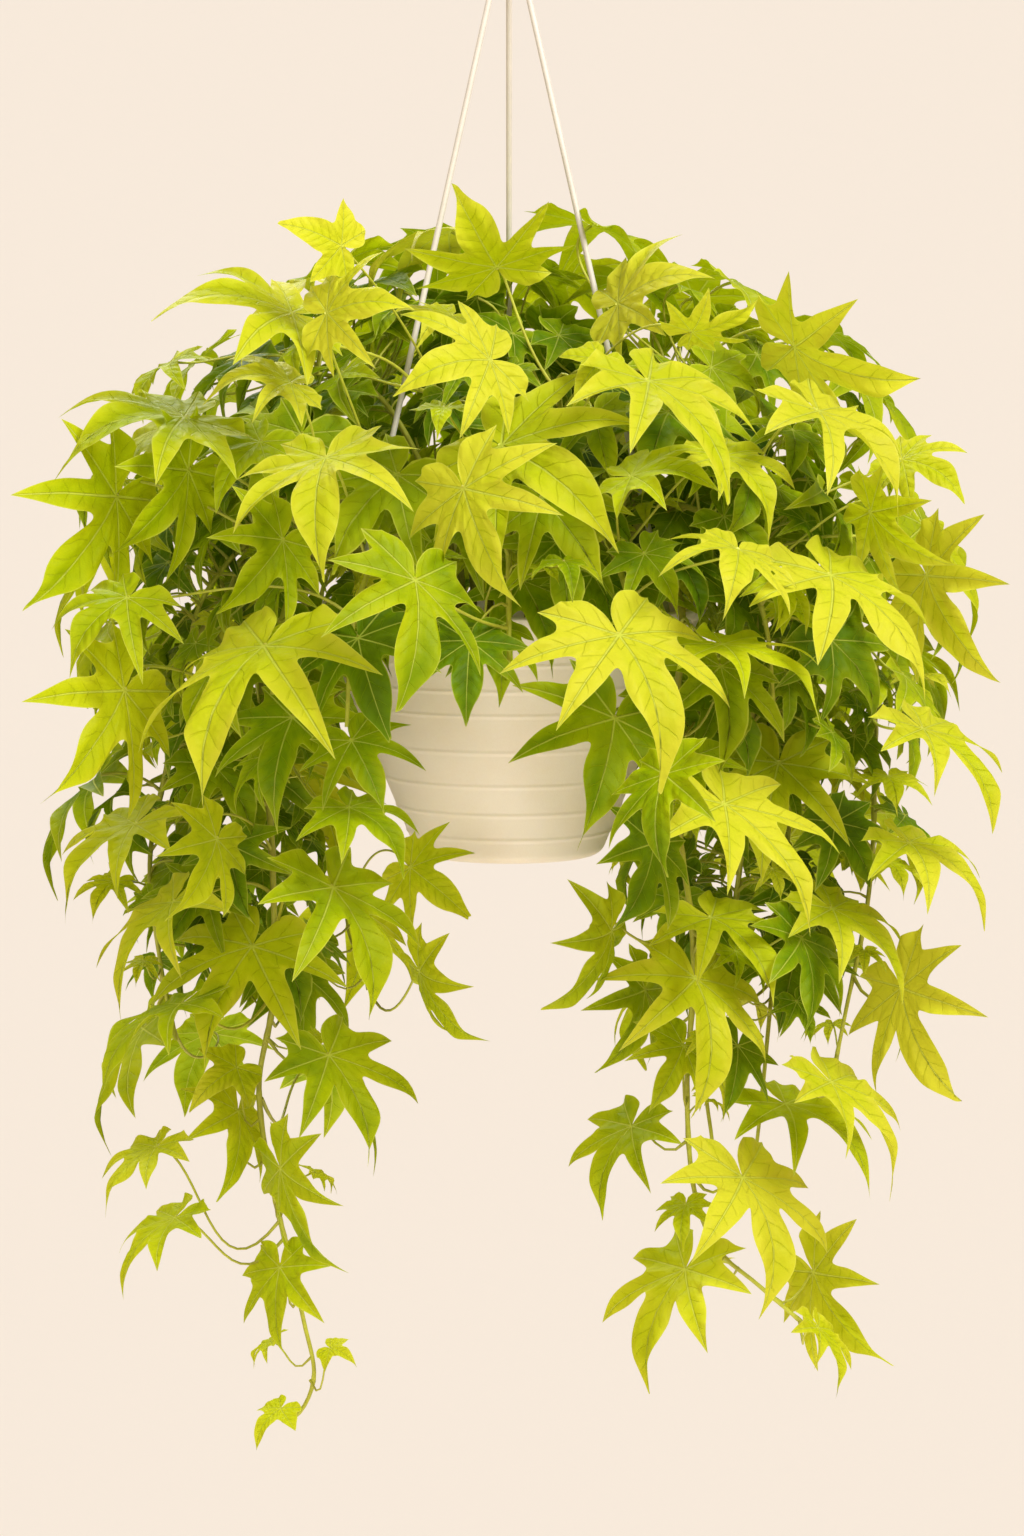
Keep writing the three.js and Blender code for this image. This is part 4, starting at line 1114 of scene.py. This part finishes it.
# Lines that become tubes: (points in mm, thickness in mm, tone)
def linesObject(name, lines):
    points = np.concatenate([line for line, _, _ in lines])
    edges = []
    start = 0
    for line, _, _ in lines:
        edges += [(start + i, start + i + 1) for i in range(len(line) - 1)]
        start += len(line)
    mesh = bpy.data.meshes.new(name)
    mesh.from_pydata(points * mm, edges, [])
    setAttribute(mesh, "thickness", "FLOAT", np.concatenate([t for _, t, _ in lines]) * mm)
    setAttribute(mesh, "tone", "FLOAT", np.concatenate([t for _, _, t in lines]))
    return newObject(name, mesh)


def bladesObject(name, leaves, grade="fine"):
    spots, faces, ribs, tones = [], [], [], []
    start = 0
    for leaf in leaves:
        spot, leafFaces, rib = bladeMesh(leaf, grade)
        spots.append(spot)
        faces += [tuple(start + i for i in face) for face in leafFaces]
        ribs.append(rib)
        tones.append(np.full(len(spot), leaf.tone))
        start += len(spot)
    mesh = bpy.data.meshes.new(name)
    mesh.from_pydata(np.concatenate(spots) * mm, [], faces)
    setAttribute(mesh, "rib", "FLOAT_VECTOR", np.concatenate(ribs))
    if grade == "fine":
        setAttribute(mesh, "tone", "FLOAT", np.concatenate(tones))
    mesh.shade_smooth()
    mesh.materials.append(leafGreen)
    return newObject(name, mesh)


stalkLook = {
    "stemEnd": 1.7,
    "middle": 1.05,
    "leafEnd": 1.45,
    "step": 7,
    "collar": 0.5,          # how far the stem swells round a stalk
    "collarLength": 5,
}


def stalkLine(leaf):
    span = np.linalg.norm(leaf.curve[3] - leaf.curve[0])
    t = np.linspace(0, 1, max(int(span / stalkLook["step"]), 6) + 1)
    points = np.array([bezier(leaf.curve, s) for s in t])
    scale = 0.55 + 0.5 * min(leaf.length / 100, 1)
    thick = stalkLook["middle"] + (stalkLook["stemEnd"] - stalkLook["middle"]) * np.exp(-t * 9)
    thick = thick + (stalkLook["leafEnd"] - stalkLook["middle"]) * np.exp(-(1 - t) * 12)
    return points, thick * scale, 0.42 + 0.5 * t * leaf.tone


def stemLine(vine):
    share = np.linspace(0, 1, len(vine.line))
    thick = stem["radius"] + (stem["tipRadius"] - stem["radius"]) * share ** 1.5
    for leaf in vine.leaves:
        if leaf.curve is not None:
            away = np.linalg.norm(vine.line - leaf.curve[0], axis=1)
            swell = np.exp(-(away / stalkLook["collarLength"]) ** 2)
            thick = thick + stalkLook["collar"] * swell
    return vine.line, thick, 0.2 + 0.4 * share


# Leaves that the CAD leaves out: the second row of the foliage and the young leaves. Each is
# tried in a few ways and kept where its blade stays clear of the blades already there.

fill = {
    "cell": 8,              # mm, for telling what is clear
    "mostClash": 0.02,      # share of a leaf's samples that may touch others
    "samples": ((0, 0.95), (51, 0.8), (-51, 0.8), (95, 0.62), (-95, 0.62), (140, 0.4),
                (-140, 0.4), (25, 0.4), (-25, 0.4), (75, 0.4), (-75, 0.4)),  # angle, distance
    "tries": 5,
    "tone": 0.26,
    "domeCount": 500,
    "domeReach": 1.42,
    "domeOut": (0.5, 0.36),
    "domeInnerShade": 0.75,       # how much lighter the leaves become outwards: painted shade, darker deeper inside the dome
    "domeStalk": 190,       # mm, the longest way to a root
    "columnCount": 80,
    "columnTop": -60,
    "columnLow": -890,      # the vines hang loose below this height
    "columnOut": (0.25, 0.4),
    "columnDeeper": 1.2,
    "columnBack": 20,
    # the darkest tone of the second row in the columns: painted shade inside the foliage
    "columnShadeTone": 0.06,
    "columnStalk": 130,
    "kinds": 5,
    "kindLength": 60,       # mm, of the small leaves before they are scaled
    "window": (-128, 74, -640, 150),       # the pot's front, which stays in view
    "potRoom": (8, 12, 12),                # over, under and round the pot
    "strandView": (-112, 112, -392, -58),  # left, right, low and front of where strands show
    "leftStrandLow": -462,  # the left strand shows as far down as this
    "strandRoom": 11,
    "strandInside": 8,      # from the rim's radius to a strand
}
domeHold = {"length": (46, 42), "swing": 110, "out": 0.5, "fall": 0.2, "steepFall": 1.0,
            "tilt": 0.5, "turn": 60}
columnHold = dict(domeHold, length=(34, 42))
youngLook = {
    "step": 4,              # every fourth root point bears a young leaf
    "length": (22, 26),
    "reach": (16, 34),
    "tone": (0.55, 0.35),
    "turn": 30,
    "stalk": 60,
    "clash": 0.05,
}


class Space:
    def __init__(self):
        self.cells = set()

    def keys(self, points):
        return list(map(tuple, np.floor(points / fill["cell"]).astype(int)))

    def add(self, points):
        self.cells.update(self.keys(points))

    def clash(self, points):
        keys = self.keys(points)
        return sum(key in self.cells for key in keys) / len(keys)


def inWindow(points):
    left, right, top, back = fill["window"]
    x, y, z = points.T
    return bool(((x > left) & (x < right) & (z < top) & (y < back)).any())


# How far from the axis a strand runs at a height
def strandReach(z):
    top, low = hanger["collarBottom"], pot["rimTop"]
    share = np.clip((top - z) / (top - low), 0, 1)
    outer = pot["rimRadius"] - fill["strandInside"]
    return hanger["holeSpread"] + (outer - hanger["holeSpread"]) * share


def beforeStrands(points):
    left, right, low, front = fill["strandView"]
    x, y, z = points.T
    hides = (x > left) & (x < right) & (z > low) & (y < front)
    azimuth = math.radians(strand["azimuths"]["left"])
    strandX, strandY = strandReach(z) * math.cos(azimuth), strandReach(z) * math.sin(azimuth)
    beside = np.abs(x - strandX) < fill["strandRoom"]
    hides |= beside & (y < strandY) & (z > fill["leftStrandLow"])
    return bool(hides.any())


def inPot(points):
    x, y, z = points.T
    over, under, around = fill["potRoom"]
    deep = (z < pot["rimTop"] + over) & (z > pot["rimTop"] - pot["height"] - under)
    return bool((deep & (np.hypot(x, y) < wallRadius(z) + around)).any())


def samples(leaf):
    return np.array([leaf.point(angle, far * share) for angle, far in fill["samples"]
                     for share in (0.25, 0.5, 0.75, 1)])


space = Space()
for vine in vines:
    for leaf in vine.leaves:
        space.add(bladeMesh(leaf)[0])
    space.add(vine.line)
allRoots = [(root, vine) for vine in vines for root in vine.roots]
rootSpots = np.array([root for root, _ in allRoots])


# The root nearest to a leaf, and how far it is: roots above the leaf count as further
def nearestRoot(base):
    above = np.maximum(rootSpots[:, 2] - base[2], 0)
    away = np.linalg.norm(rootSpots - base, axis=1) + 0.5 * above
    best = int(away.argmin())
    return allRoots[best], away[best]


# Keeps the first of a leaf's tries that is clear and near enough to a root
def tryLeaf(make, longest, mostClash=fill["mostClash"]):
    for attempt in range(fill["tries"]):
        leaf = make(attempt)
        spots = samples(leaf)
        if inWindow(spots) or inPot(spots) or beforeStrands(spots):
            continue
        if space.clash(spots) > mostClash:
            continue
        (root, vine), away = nearestRoot(leaf.base)
        if away > longest:
            continue
        leaf.curve = leaf.stalk(root, bendsFor(leaf)[attempt % 3])
        vine.extras.append(leaf)
        space.add(spots)
        return leaf
    return None


# A leaf of the second row, a little further in at each attempt
def innerLeaf(place, seed, attempt, hold, shadedTone):
    at, out, steep = place
    number = seed + attempt * 0.031
    shift = out * (-14 * attempt + 8) + vec(0, 0, 16 * (draw(number + 0.5) - 0.5))
    # the second row starts from a dark tone: painted shade inside the foliage
    tone = shadedTone + fill["tone"] * draw(number + 0.71)
    return looseLeaf(at + shift, out, steep, number, hold, tone)


for i in range(fill["domeCount"]):
    depth = drawn(fill["domeOut"], 3000.5 + i)
    place = domePlace(i, fill["domeCount"], fill["domeReach"], depth, 10, depth + 0.02)
    # deeper inside the dome the leaves are darker: painted shade
    shadedTone = fill["domeInnerShade"] * (depth - 0.5)
    tryLeaf(lambda attempt: innerLeaf(place, 4000 + i, attempt, domeHold, shadedTone),
            fill["domeStalk"])
for column in columns:
    top = dome["middle"] + fill["columnTop"]
    for i in range(fill["columnCount"]):
        z, out = columnPlace(i, fill["columnCount"], top, fill["columnLow"])
        spread = drawn(fill["columnOut"], 5000.5 + i) * thinning(z)
        deep = column["deep"] * fill["columnDeeper"]
        at = vec(column["x"] + column["wide"] * spread * out[0],
                 column["y"] + fill["columnBack"] + deep * spread * out[1], z)
        seed = 6000 + column["seed"] + i
        tryLeaf(lambda attempt: innerLeaf((at, out, 1), seed, attempt, columnHold,
                                          fill["columnShadeTone"]), fill["columnStalk"])
# Leaves that have no place or no stalk in the CAD model grow from the nearest root
for leaf in unplaced + [l for v in vines for l in v.leaves if l.curve is None]:
    (root, vine), away = nearestRoot(leaf.base)
    leaf.curve = leaf.stalk(root, bendsFor(leaf)[0])
    if leaf in unplaced:
        vine.leaves.append(leaf)
print("second row:", sum(len(v.extras) for v in vines))


# Young leaves beside the stems, small and bright
def youngLeaf(root, tangent, seed, attempt, length):
    number = seed + attempt * 0.057
    side = unit(np.cross(tangent, vec(0.3, 0.1, 1)))
    out = turned(side, tangent, 360 * draw(number + 0.17))
    base = root + out * drawn(youngLook["reach"], number + 0.27) + vec(0, 0, 8)
    along = out + tangent * 0.6 + vec(0, 0, -0.3)
    facing = out * 0.4 + vec(0, -0.4, 1)
    turn = youngLook["turn"] * (draw(number + 0.37) - 0.5)
    tone = drawn(youngLook["tone"], number + 0.47)
    return Leaf(base, along, length, facing, turn, number, tone)


young = []
for v, vine in enumerate(vines):
    last = len(vine.roots) - 1
    for i in range(0, last + 1, youngLook["step"]):
        root = vine.roots[i]
        if root[2] < lowest:
            continue
        tangent = unit(vine.roots[min(i + 1, last)] - vine.roots[max(i - 1, 0)])
        seed = 7000 + v * 50 + i
        length = drawn(youngLook["length"], seed)
        young.append(tryLeaf(lambda attempt: youngLeaf(root, tangent, seed, attempt, length),
                             youngLook["stalk"], youngLook["clash"]))
print("young leaves:", sum(leaf is not None for leaf in young))


# The unit leaves that the points of small leaves take turns with
kinds = bpy.data.collections.new("leafletKinds")
for i in range(fill["kinds"]):
    unitLeaf = Leaf(vec(0, 0, 0), vec(1, 0, 0), fill["kindLength"], vec(0, 0, 1), 0, 900 + i, 0.5)
    kind = bladesObject("leafletKind%d" % i, [unitLeaf], "plain")
    bpy.context.scene.collection.objects.unlink(kind)
    kinds.objects.link(kind)


def leafletsObject(name, leaves):
    mesh = bpy.data.meshes.new(name)
    mesh.from_pydata(np.array([leaf.base for leaf in leaves]) * mm, [], [])
    setAttribute(mesh, "aim", "FLOAT_VECTOR", [leaf.along for leaf in leaves])
    setAttribute(mesh, "facing", "FLOAT_VECTOR", [leaf.normal for leaf in leaves])
    setAttribute(mesh, "size", "FLOAT", [leaf.length / fill["kindLength"] for leaf in leaves])
    setAttribute(mesh, "tone", "FLOAT", [leaf.tone for leaf in leaves])
    setAttribute(mesh, "kind", "INT", [int(leaf.seed * 7) % fill["kinds"] for leaf in leaves])
    piece = newObject(name, mesh)
    return bake(piece, leaflets, {"Kinds": kinds, "Size": 1.0, "Material": leafGreen})


def makeVine(vine):
    lines = [stemLine(vine)]
    lines += [stalkLine(leaf) for leaf in vine.leaves + vine.extras if leaf.curve is not None]
    pieces = [linesObject("stems", lines)]
    bake(pieces[0], tubes, {"Sides": 8, "Thickness scale": 1.0, "Material": stemGreen})
    if vine.leaves:
        pieces.append(bladesObject("blades", vine.leaves))
    if vine.extras:
        pieces.append(leafletsObject("leaflets", vine.extras))
    return join(vine.name + "_grown", pieces)


grown = []
for vine in vines:
    piece = makeVine(vine)
    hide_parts(vine.name)
    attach(piece, "root")
    grown.append(piece)
print("vines grown, triangles:", sum(len(f.vertices) - 2 for p in grown for f in p.data.polygons))
for kind in list(kinds.objects):
    bpy.data.objects.remove(kind)
bpy.data.collections.remove(kinds)


# Pot, collar and soil are turned: a profile carried round the axis

def turningTree():
    tree, make, given = startTree("turnedProfile", [
        ("Steps round", "Int"), ("Rail radius", "Float"), ("Material", "Material")])
    profile = make.add("GeometryNodeMeshToCurve", {"Mesh": given.outputs["Geometry"]})
    rail = make.add("GeometryNodeCurvePrimitiveCircle", {
        "Resolution": given.outputs["Steps round"], "Radius": given.outputs["Rail radius"]})
    rail = make.add("GeometryNodeSetCurveNormal", {"Curve": rail}, mode="Z_UP")
    body = make.add("GeometryNodeCurveToMesh", {"Curve": rail, "Profile Curve": profile})
    body = make.add("GeometryNodeMergeByDistance", {"Geometry": body, "Distance": 0.00001})
    body = make.add("GeometryNodeSetShadeSmooth", {"Geometry": body})
    endTree(make, body, given.outputs["Material"])
    return tree


turning = turningTree()
railRadius = 0.05


def turnedPiece(name, profile, steps, material):
    points = np.array([(radius * mm - railRadius, -z * mm, 0) for radius, z in profile])
    edges = [(i, i + 1) for i in range(len(points) - 1)]
    mesh = bpy.data.meshes.new(name)
    mesh.from_pydata(points, edges, [])
    piece = newObject(name, mesh)
    return bake(piece, turning, {"Steps round": steps, "Rail radius": railRadius,
                                 "Material": material})


potLook = {
    "rimBand": 2.4,
    "rimBandHeight": 9,
    "footRound": 7,
    "ribDepths": (38, 58, 77, 106, 133, 156, 176),
    "ribHeight": 0.55,
    "ribWidth": 5,
    "ribSteps": (-2.6, -1.3, -1, -0.75, -0.5, -0.25, 0, 0.25, 0.5, 0.75, 1, 1.3, 2.6),
    "drainHoles": 4,
    "drainTurn": 45,
    "drainRadius": 5,
    "drainRing": 38,
    "drainRod": (-5, 8),    # the ends of the rods that cut the holes, from the pot's foot
    "strandRod": 12,        # the same to both sides of the wall
    "color": srgb(247, 237, 223),
    "shade": srgb(242, 229, 211),
    "gloss": (0.25, 0.3),
    "bump": (0.22, 0.0004),
}


def potProfile():
    top, low = pot["rimTop"], pot["rimTop"] - pot["height"]
    wall, band = pot["wall"], potLook["rimBand"]
    half = (wall * 0.8 + band) / 2
    crown = pot["rimRadius"] + band - half
    points = [(crown - half * math.cos(a), top - half + half * math.sin(a))
              for a in np.linspace(0, math.pi, 11)]
    foot = top - potLook["rimBandHeight"]
    points += [(wallRadius(foot) + band, foot + 0.8), (wallRadius(foot) + band * 0.75, foot - 0.2),
               (wallRadius(foot - 1) + 0.4, foot - 0.8), (wallRadius(foot - 2), foot - 2)]
    for depth in potLook["ribDepths"]:
        for t in potLook["ribSteps"]:
            z = top - depth - t * potLook["ribWidth"] / 2
            raised = math.cos(min(abs(t), 1) * math.pi / 2) ** 2
            points.append((wallRadius(z) + potLook["ribHeight"] * raised, z))
    r = potLook["footRound"]
    for a in np.linspace(0, math.pi / 2, 9):
        z = low + r - r * math.sin(a)
        points.append((wallRadius(z) - r + r * math.cos(a), z))
    points += [(0, low), (0, low + wall)]
    for a in np.linspace(math.pi / 2, 0, 7):
        z = low + wall + r * (1 - math.sin(a))
        points.append((wallRadius(z) - wall - r + r * math.cos(a), z))
    points += [(wallRadius(top - 12) - wall, top - 12), (crown - half, top - half)]
    return points


def potMaterial():
    material, make, shader = startMaterial("potPlastic")
    level = make.total((make.noise(14, 4), 0.8), (make.noise(420, 2), 0.2))
    color = make.ramp(level, [(0.3, potLook["shade"]), (0.62, potLook["color"])])
    gloss = make.scaled(make.noise(70, 4, 0.6), *potLook["gloss"])
    height = make.total((make.noise(900, 2), 1.0), (make.noise(26, 2), 2.5))
    make.fill(shader, {
        "Base Color": color, "Roughness": gloss, "Normal": make.bump(height, *potLook["bump"]),
        "Subsurface Weight": 0.25, "Subsurface Radius": (1.0, 0.8, 0.55),
        "Subsurface Scale": 0.006})
    return material


# Cuts round holes: each rod is its two ends and its radius
def cut(piece, rods):
    for foot, head, radius in rods:
        way = Vector(head - foot)
        bpy.ops.mesh.primitive_cylinder_add(vertices=24, radius=radius * mm, depth=way.length * mm,
                                            location=(foot + head) / 2 * mm,
                                            rotation=way.to_track_quat("Z", "Y").to_euler())
        rod = bpy.context.object
        modifier = piece.modifiers.new("hole", "BOOLEAN")
        modifier.object = rod
        modifier.solver = "EXACT"
        bpy.context.view_layer.objects.active = piece
        bpy.ops.object.modifier_apply(modifier=modifier.name)
        bpy.data.objects.remove(rod)


potPiece = turnedPiece("pot_turned", potProfile(), 144, potMaterial())
rods = []
potLow = pot["rimTop"] - pot["height"]
for i in range(potLook["drainHoles"]):
    azimuth = potLook["drainTurn"] + 360 * i / potLook["drainHoles"]
    ends = [polar(azimuth, potLook["drainRing"], potLow + end) for end in potLook["drainRod"]]
    rods.append((*ends, potLook["drainRadius"]))
holeZ = pot["rimTop"] - strand["holeDrop"]
holeRadius = wallRadius(holeZ)
for azimuth in strand["azimuths"].values():
    ends = [polar(azimuth, holeRadius + side * potLook["strandRod"], holeZ) for side in (-1, 1)]
    rods.append((*ends, strand["radius"] + strand["holeGap"]))
cut(potPiece, rods)
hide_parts("pot")
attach(potPiece, "root")
print("pot turned")


# Hanger: a wire hook in a collar, and three strands

strandLook = {
    "color": srgb(216, 211, 202),
    "shade": 0.86,
    "gloss": (0.2, 0.36),
    "bump": (0.25, 0.0003),
    "sides": 20,
    "endShrink": 0.72,
    # how it goes through the wall: steps from the wall's inside and outside, and heights
    "inside": ((-4.6, 12), (-3.6, 4), (-1, 0.6), (3, 0)),
    "outside": ((3, 0), (8, 2), (10.5, 8)),
}


def strandMaterial():
    material, make, shader = startMaterial("strandPlastic")
    mottle = make.scaled(make.noise(60, 3), 0.5, 0.25)
    color = strandLook["color"]
    shade = tuple(v * strandLook["shade"] for v in color[:3]) + (1,)
    make.fill(shader, {
        "Base Color": make.ramp(mottle, [(0.3, shade), (0.6, color)]),
        "Roughness": make.scaled(make.noise(120, 2), *strandLook["gloss"]),
        "Normal": make.bump(make.noise(500, 3), *strandLook["bump"])})
    return material


strandPlastic = strandMaterial()


def evenLine(points, spacing):
    lengths = curveTable(points)
    return spacedPoints(points, lengths, max(int(lengths[-1] / spacing), 2))


def hookLine():
    bend = hanger["inside"] + hanger["wire"]
    points = [vec(0, 0, hanger["shankFoot"]), vec(0, 0, hanger["shankTop"]),
              vec(4, 0, hanger["shankTop"] + 11)]
    for angle in range(-50, 180 + hanger["tipTurn"] + 1, 20):
        turn = math.radians(angle)
        points.append(vec(bend * math.cos(turn), 0, bend * math.sin(turn) - hanger["inside"]))
    return evenLine(points, 1.5)


def tubePiece(name, line, radius, material):
    thick = np.full(len(line), float(radius))
    thick[[0, -1]] *= strandLook["endShrink"]
    piece = linesObject(name, [(line, thick, np.zeros(len(line)))])
    return bake(piece, tubes, {"Sides": strandLook["sides"], "Thickness scale": 1.0,
                               "Material": material})


def collarProfile():
    r, top, low = hanger["collarRadius"], hanger["collarTop"], hanger["collarBottom"]
    points = [(0, top), (r * 0.5, top)]
    points += [(r * 0.55 + r * 0.45 * math.sin(a), top - 6 + 6 * math.cos(a))
               for a in np.linspace(0, math.pi / 2, 9)]
    points += [(r - 2.5 + 2.5 * math.cos(a), low + 2.5 - 2.5 * math.sin(a))
               for a in np.linspace(0, math.pi / 2, 6)]
    return points + [(0, low)]


hookPiece = join("hanger_hook_wire", [
    tubePiece("wire", hookLine(), hanger["wire"], strandPlastic),
    turnedPiece("collar", collarProfile(), 64, strandPlastic)])
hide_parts("hanger_hook")
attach(hookPiece, "root")
holeInside = holeRadius - pot["wall"]
for side, azimuth in strand["azimuths"].items():
    head = polar(azimuth, hanger["holeSpread"], hanger["collarBottom"] + hanger["holeDepth"])
    turn = [polar(azimuth, holeInside + step, holeZ + up) for step, up in strandLook["inside"]]
    turn += [polar(azimuth, holeRadius + step, holeZ + up) for step, up in strandLook["outside"]]
    straight = np.linspace(head, turn[0], 40)[:-1]
    piece = tubePiece("strand_%s_smooth" % side, np.concatenate([straight, evenLine(turn, 1.2)]),
                      strand["radius"], strandPlastic)
    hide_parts("strand_" + side)
    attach(piece, "root")
print("hanger made")


# Soil: a rough top with crumbs

soil = {
    "wallGap": 0.9,
    "rough": (1.2, 19),     # height and closeness of the top's rings
    "footIn": 7,
    "crumbs": 52000.0,      # for each square metre
    "crumbSize": 0.0026,    # metres
    "dark": srgb(38, 28, 20),
    "light": srgb(92, 70, 50),
    "bump": (0.9, 0.002),
}


def soilMaterial():
    material, make, shader = startMaterial("pottingSoil")
    color = make.ramp(make.noise(160, 5, 0.7), [(0.35, soil["dark"]), (0.7, soil["light"])])
    bump = make.bump(make.noise(320, 6, 0.7), *soil["bump"])
    make.fill(shader, {"Base Color": color, "Roughness": 0.95, "Normal": bump})
    return material


def crumbTree():
    tree, make, given = startTree("crumbsOnSoil", [
        ("Crumbs per area", "Float"), ("Crumb size", "Float"), ("Seed", "Int"),
        ("Material", "Material")])
    ground = given.outputs["Geometry"]
    normal = make.add("GeometryNodeInputNormal")
    upward = make.add("ShaderNodeSeparateXYZ", {0: normal}).outputs[2]
    flat = make.add("FunctionNodeCompare", {0: upward, 1: 0.8}, operation="GREATER_THAN")
    spots = make.add("GeometryNodeDistributePointsOnFaces", {
        "Mesh": ground, "Selection": flat, "Density": given.outputs["Crumbs per area"],
        "Seed": given.outputs["Seed"]})
    ball = make.add("GeometryNodeMeshIcoSphere",
                    {"Radius": given.outputs["Crumb size"], "Subdivisions": 1})
    size = make.add("FunctionNodeRandomValue", {
        "Min": (0.4, 0.4, 0.3), "Max": (1.3, 1.3, 0.9), "Seed": 4}, data_type="FLOAT_VECTOR")
    turn = make.add("FunctionNodeRandomValue", {
        "Min": (0, 0, 0), "Max": (6.3, 6.3, 6.3), "Seed": 9}, data_type="FLOAT_VECTOR")
    crumbs = make.add("GeometryNodeInstanceOnPoints", {
        "Points": spots.outputs["Points"], "Instance": ball, "Rotation": turn, "Scale": size})
    whole = make.add("GeometryNodeJoinGeometry")
    make.tree.links.new(crumbs.outputs[0], whole.inputs[0])
    make.tree.links.new(ground, whole.inputs[0])
    endTree(make, whole, given.outputs["Material"])
    return tree


pottingSoil = soilMaterial()
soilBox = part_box("soil")
soilLow = soilBox[0][2] / mm
edgeTop = wallRadius(soilTop) - pot["wall"] - soil["wallGap"]
edgeLow = wallRadius(soilLow) - pot["wall"] - soil["wallGap"]
high, close = soil["rough"]
soilProfile = [(edgeTop * s, soilTop + high * math.sin(s * close) * (1 - s))
               for s in np.linspace(0, 1, 24)]
soilProfile += [(edgeTop + (edgeLow - edgeTop) * s, soilTop + (soilLow - soilTop) * s)
                for s in np.linspace(0.05, 0.96, 12)]
soilProfile += [(edgeLow - soil["footIn"], soilLow), (0, soilLow)]
soilPiece = turnedPiece("soil_crumbly", soilProfile, 96, pottingSoil)
bake(soilPiece, crumbTree(), {"Crumbs per area": soil["crumbs"], "Seed": 3,
                              "Crumb size": soil["crumbSize"], "Material": pottingSoil})
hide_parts("soil")
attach(soilPiece, "root")
print("soil laid")


# Stage and light

stage = {"floor": -4.3, "radius": 6.5, "bend": 2.5, "height": 5.0, "color": srgb(250, 238, 224),
         "even": 0.88}
lights = {
    "key": {"place": (1.7, -2.0, 1.6), "size": 1.3, "power": 125, "color": (1, 0.985, 0.96)},
    "fill": {"place": (-1.7, -2.6, -0.7), "size": 2.2, "power": 32, "color": (1, 0.98, 0.96)},
    "back": {"place": (-0.8, 2.3, 1.6), "size": 1.6, "power": 80, "color": (1, 0.98, 0.93)},
    "under": {"place": (0.3, -0.9, -3.6), "size": 2.6, "power": 42, "color": (1, 0.97, 0.93)},
}
lightsAim = (0, 0, -0.72)
sky = {"color": srgb(250, 241, 230), "light": 0.46, "shown": 0.95}


def addStage():
    flatEnd = stage["radius"] - stage["bend"]
    profile = [(0, stage["floor"])]
    profile += [(flatEnd + stage["bend"] * math.sin(a),
                 stage["floor"] + stage["bend"] * (1 - math.cos(a)))
                for a in np.linspace(0, math.pi / 2, 24)]
    profile.append((stage["radius"], stage["height"]))
    material, make, shader = startMaterial("stagePaper")
    make.fill(shader, {"Base Color": stage["color"], "Roughness": 1.0, "Specular IOR Level": 0.0})
    seen = make.add("ShaderNodeLightPath").outputs["Is Camera Ray"]
    even = make.add("ShaderNodeEmission", {"Color": stage["color"], "Strength": 1.0})
    share = make.times(seen, stage["even"])
    paper = make.add("ShaderNodeMixShader", {0: share, 1: shader, 2: even})
    make.fill(material.node_tree.nodes["Material Output"], {"Surface": paper})
    material.cycles.emission_sampling = "NONE"  # the paper is no lamp
    floor = turnedPiece("stage_floor", [(r / mm, z / mm) for r, z in profile], 96, material)


def addLight(name, place, size, power, color):
    data = bpy.data.lights.new(name, "AREA")
    data.size = size
    data.energy = power
    data.color = color
    light = bpy.data.objects.new(name, data)
    bpy.context.scene.collection.objects.link(light)
    light.location = place
    aim = Vector(lightsAim) - Vector(place)
    light.rotation_euler = aim.to_track_quat("-Z", "Y").to_euler()
    light.visible_camera = False


def addWorld():
    world = bpy.data.worlds.new("studio")
    world.use_nodes = True
    make = NodeMaker(world.node_tree)
    seen = make.add("ShaderNodeLightPath").outputs["Is Camera Ray"]
    strength = make.scaled(seen, sky["shown"] - sky["light"], sky["light"])
    make.fill(world.node_tree.nodes["Background"], {"Color": sky["color"], "Strength": strength})
    bpy.context.scene.world = world


addStage()
for name, light in lights.items():
    addLight(name, **light)
addWorld()
bpy.context.scene.view_settings.view_transform = "Standard"
print("stage and lights set")
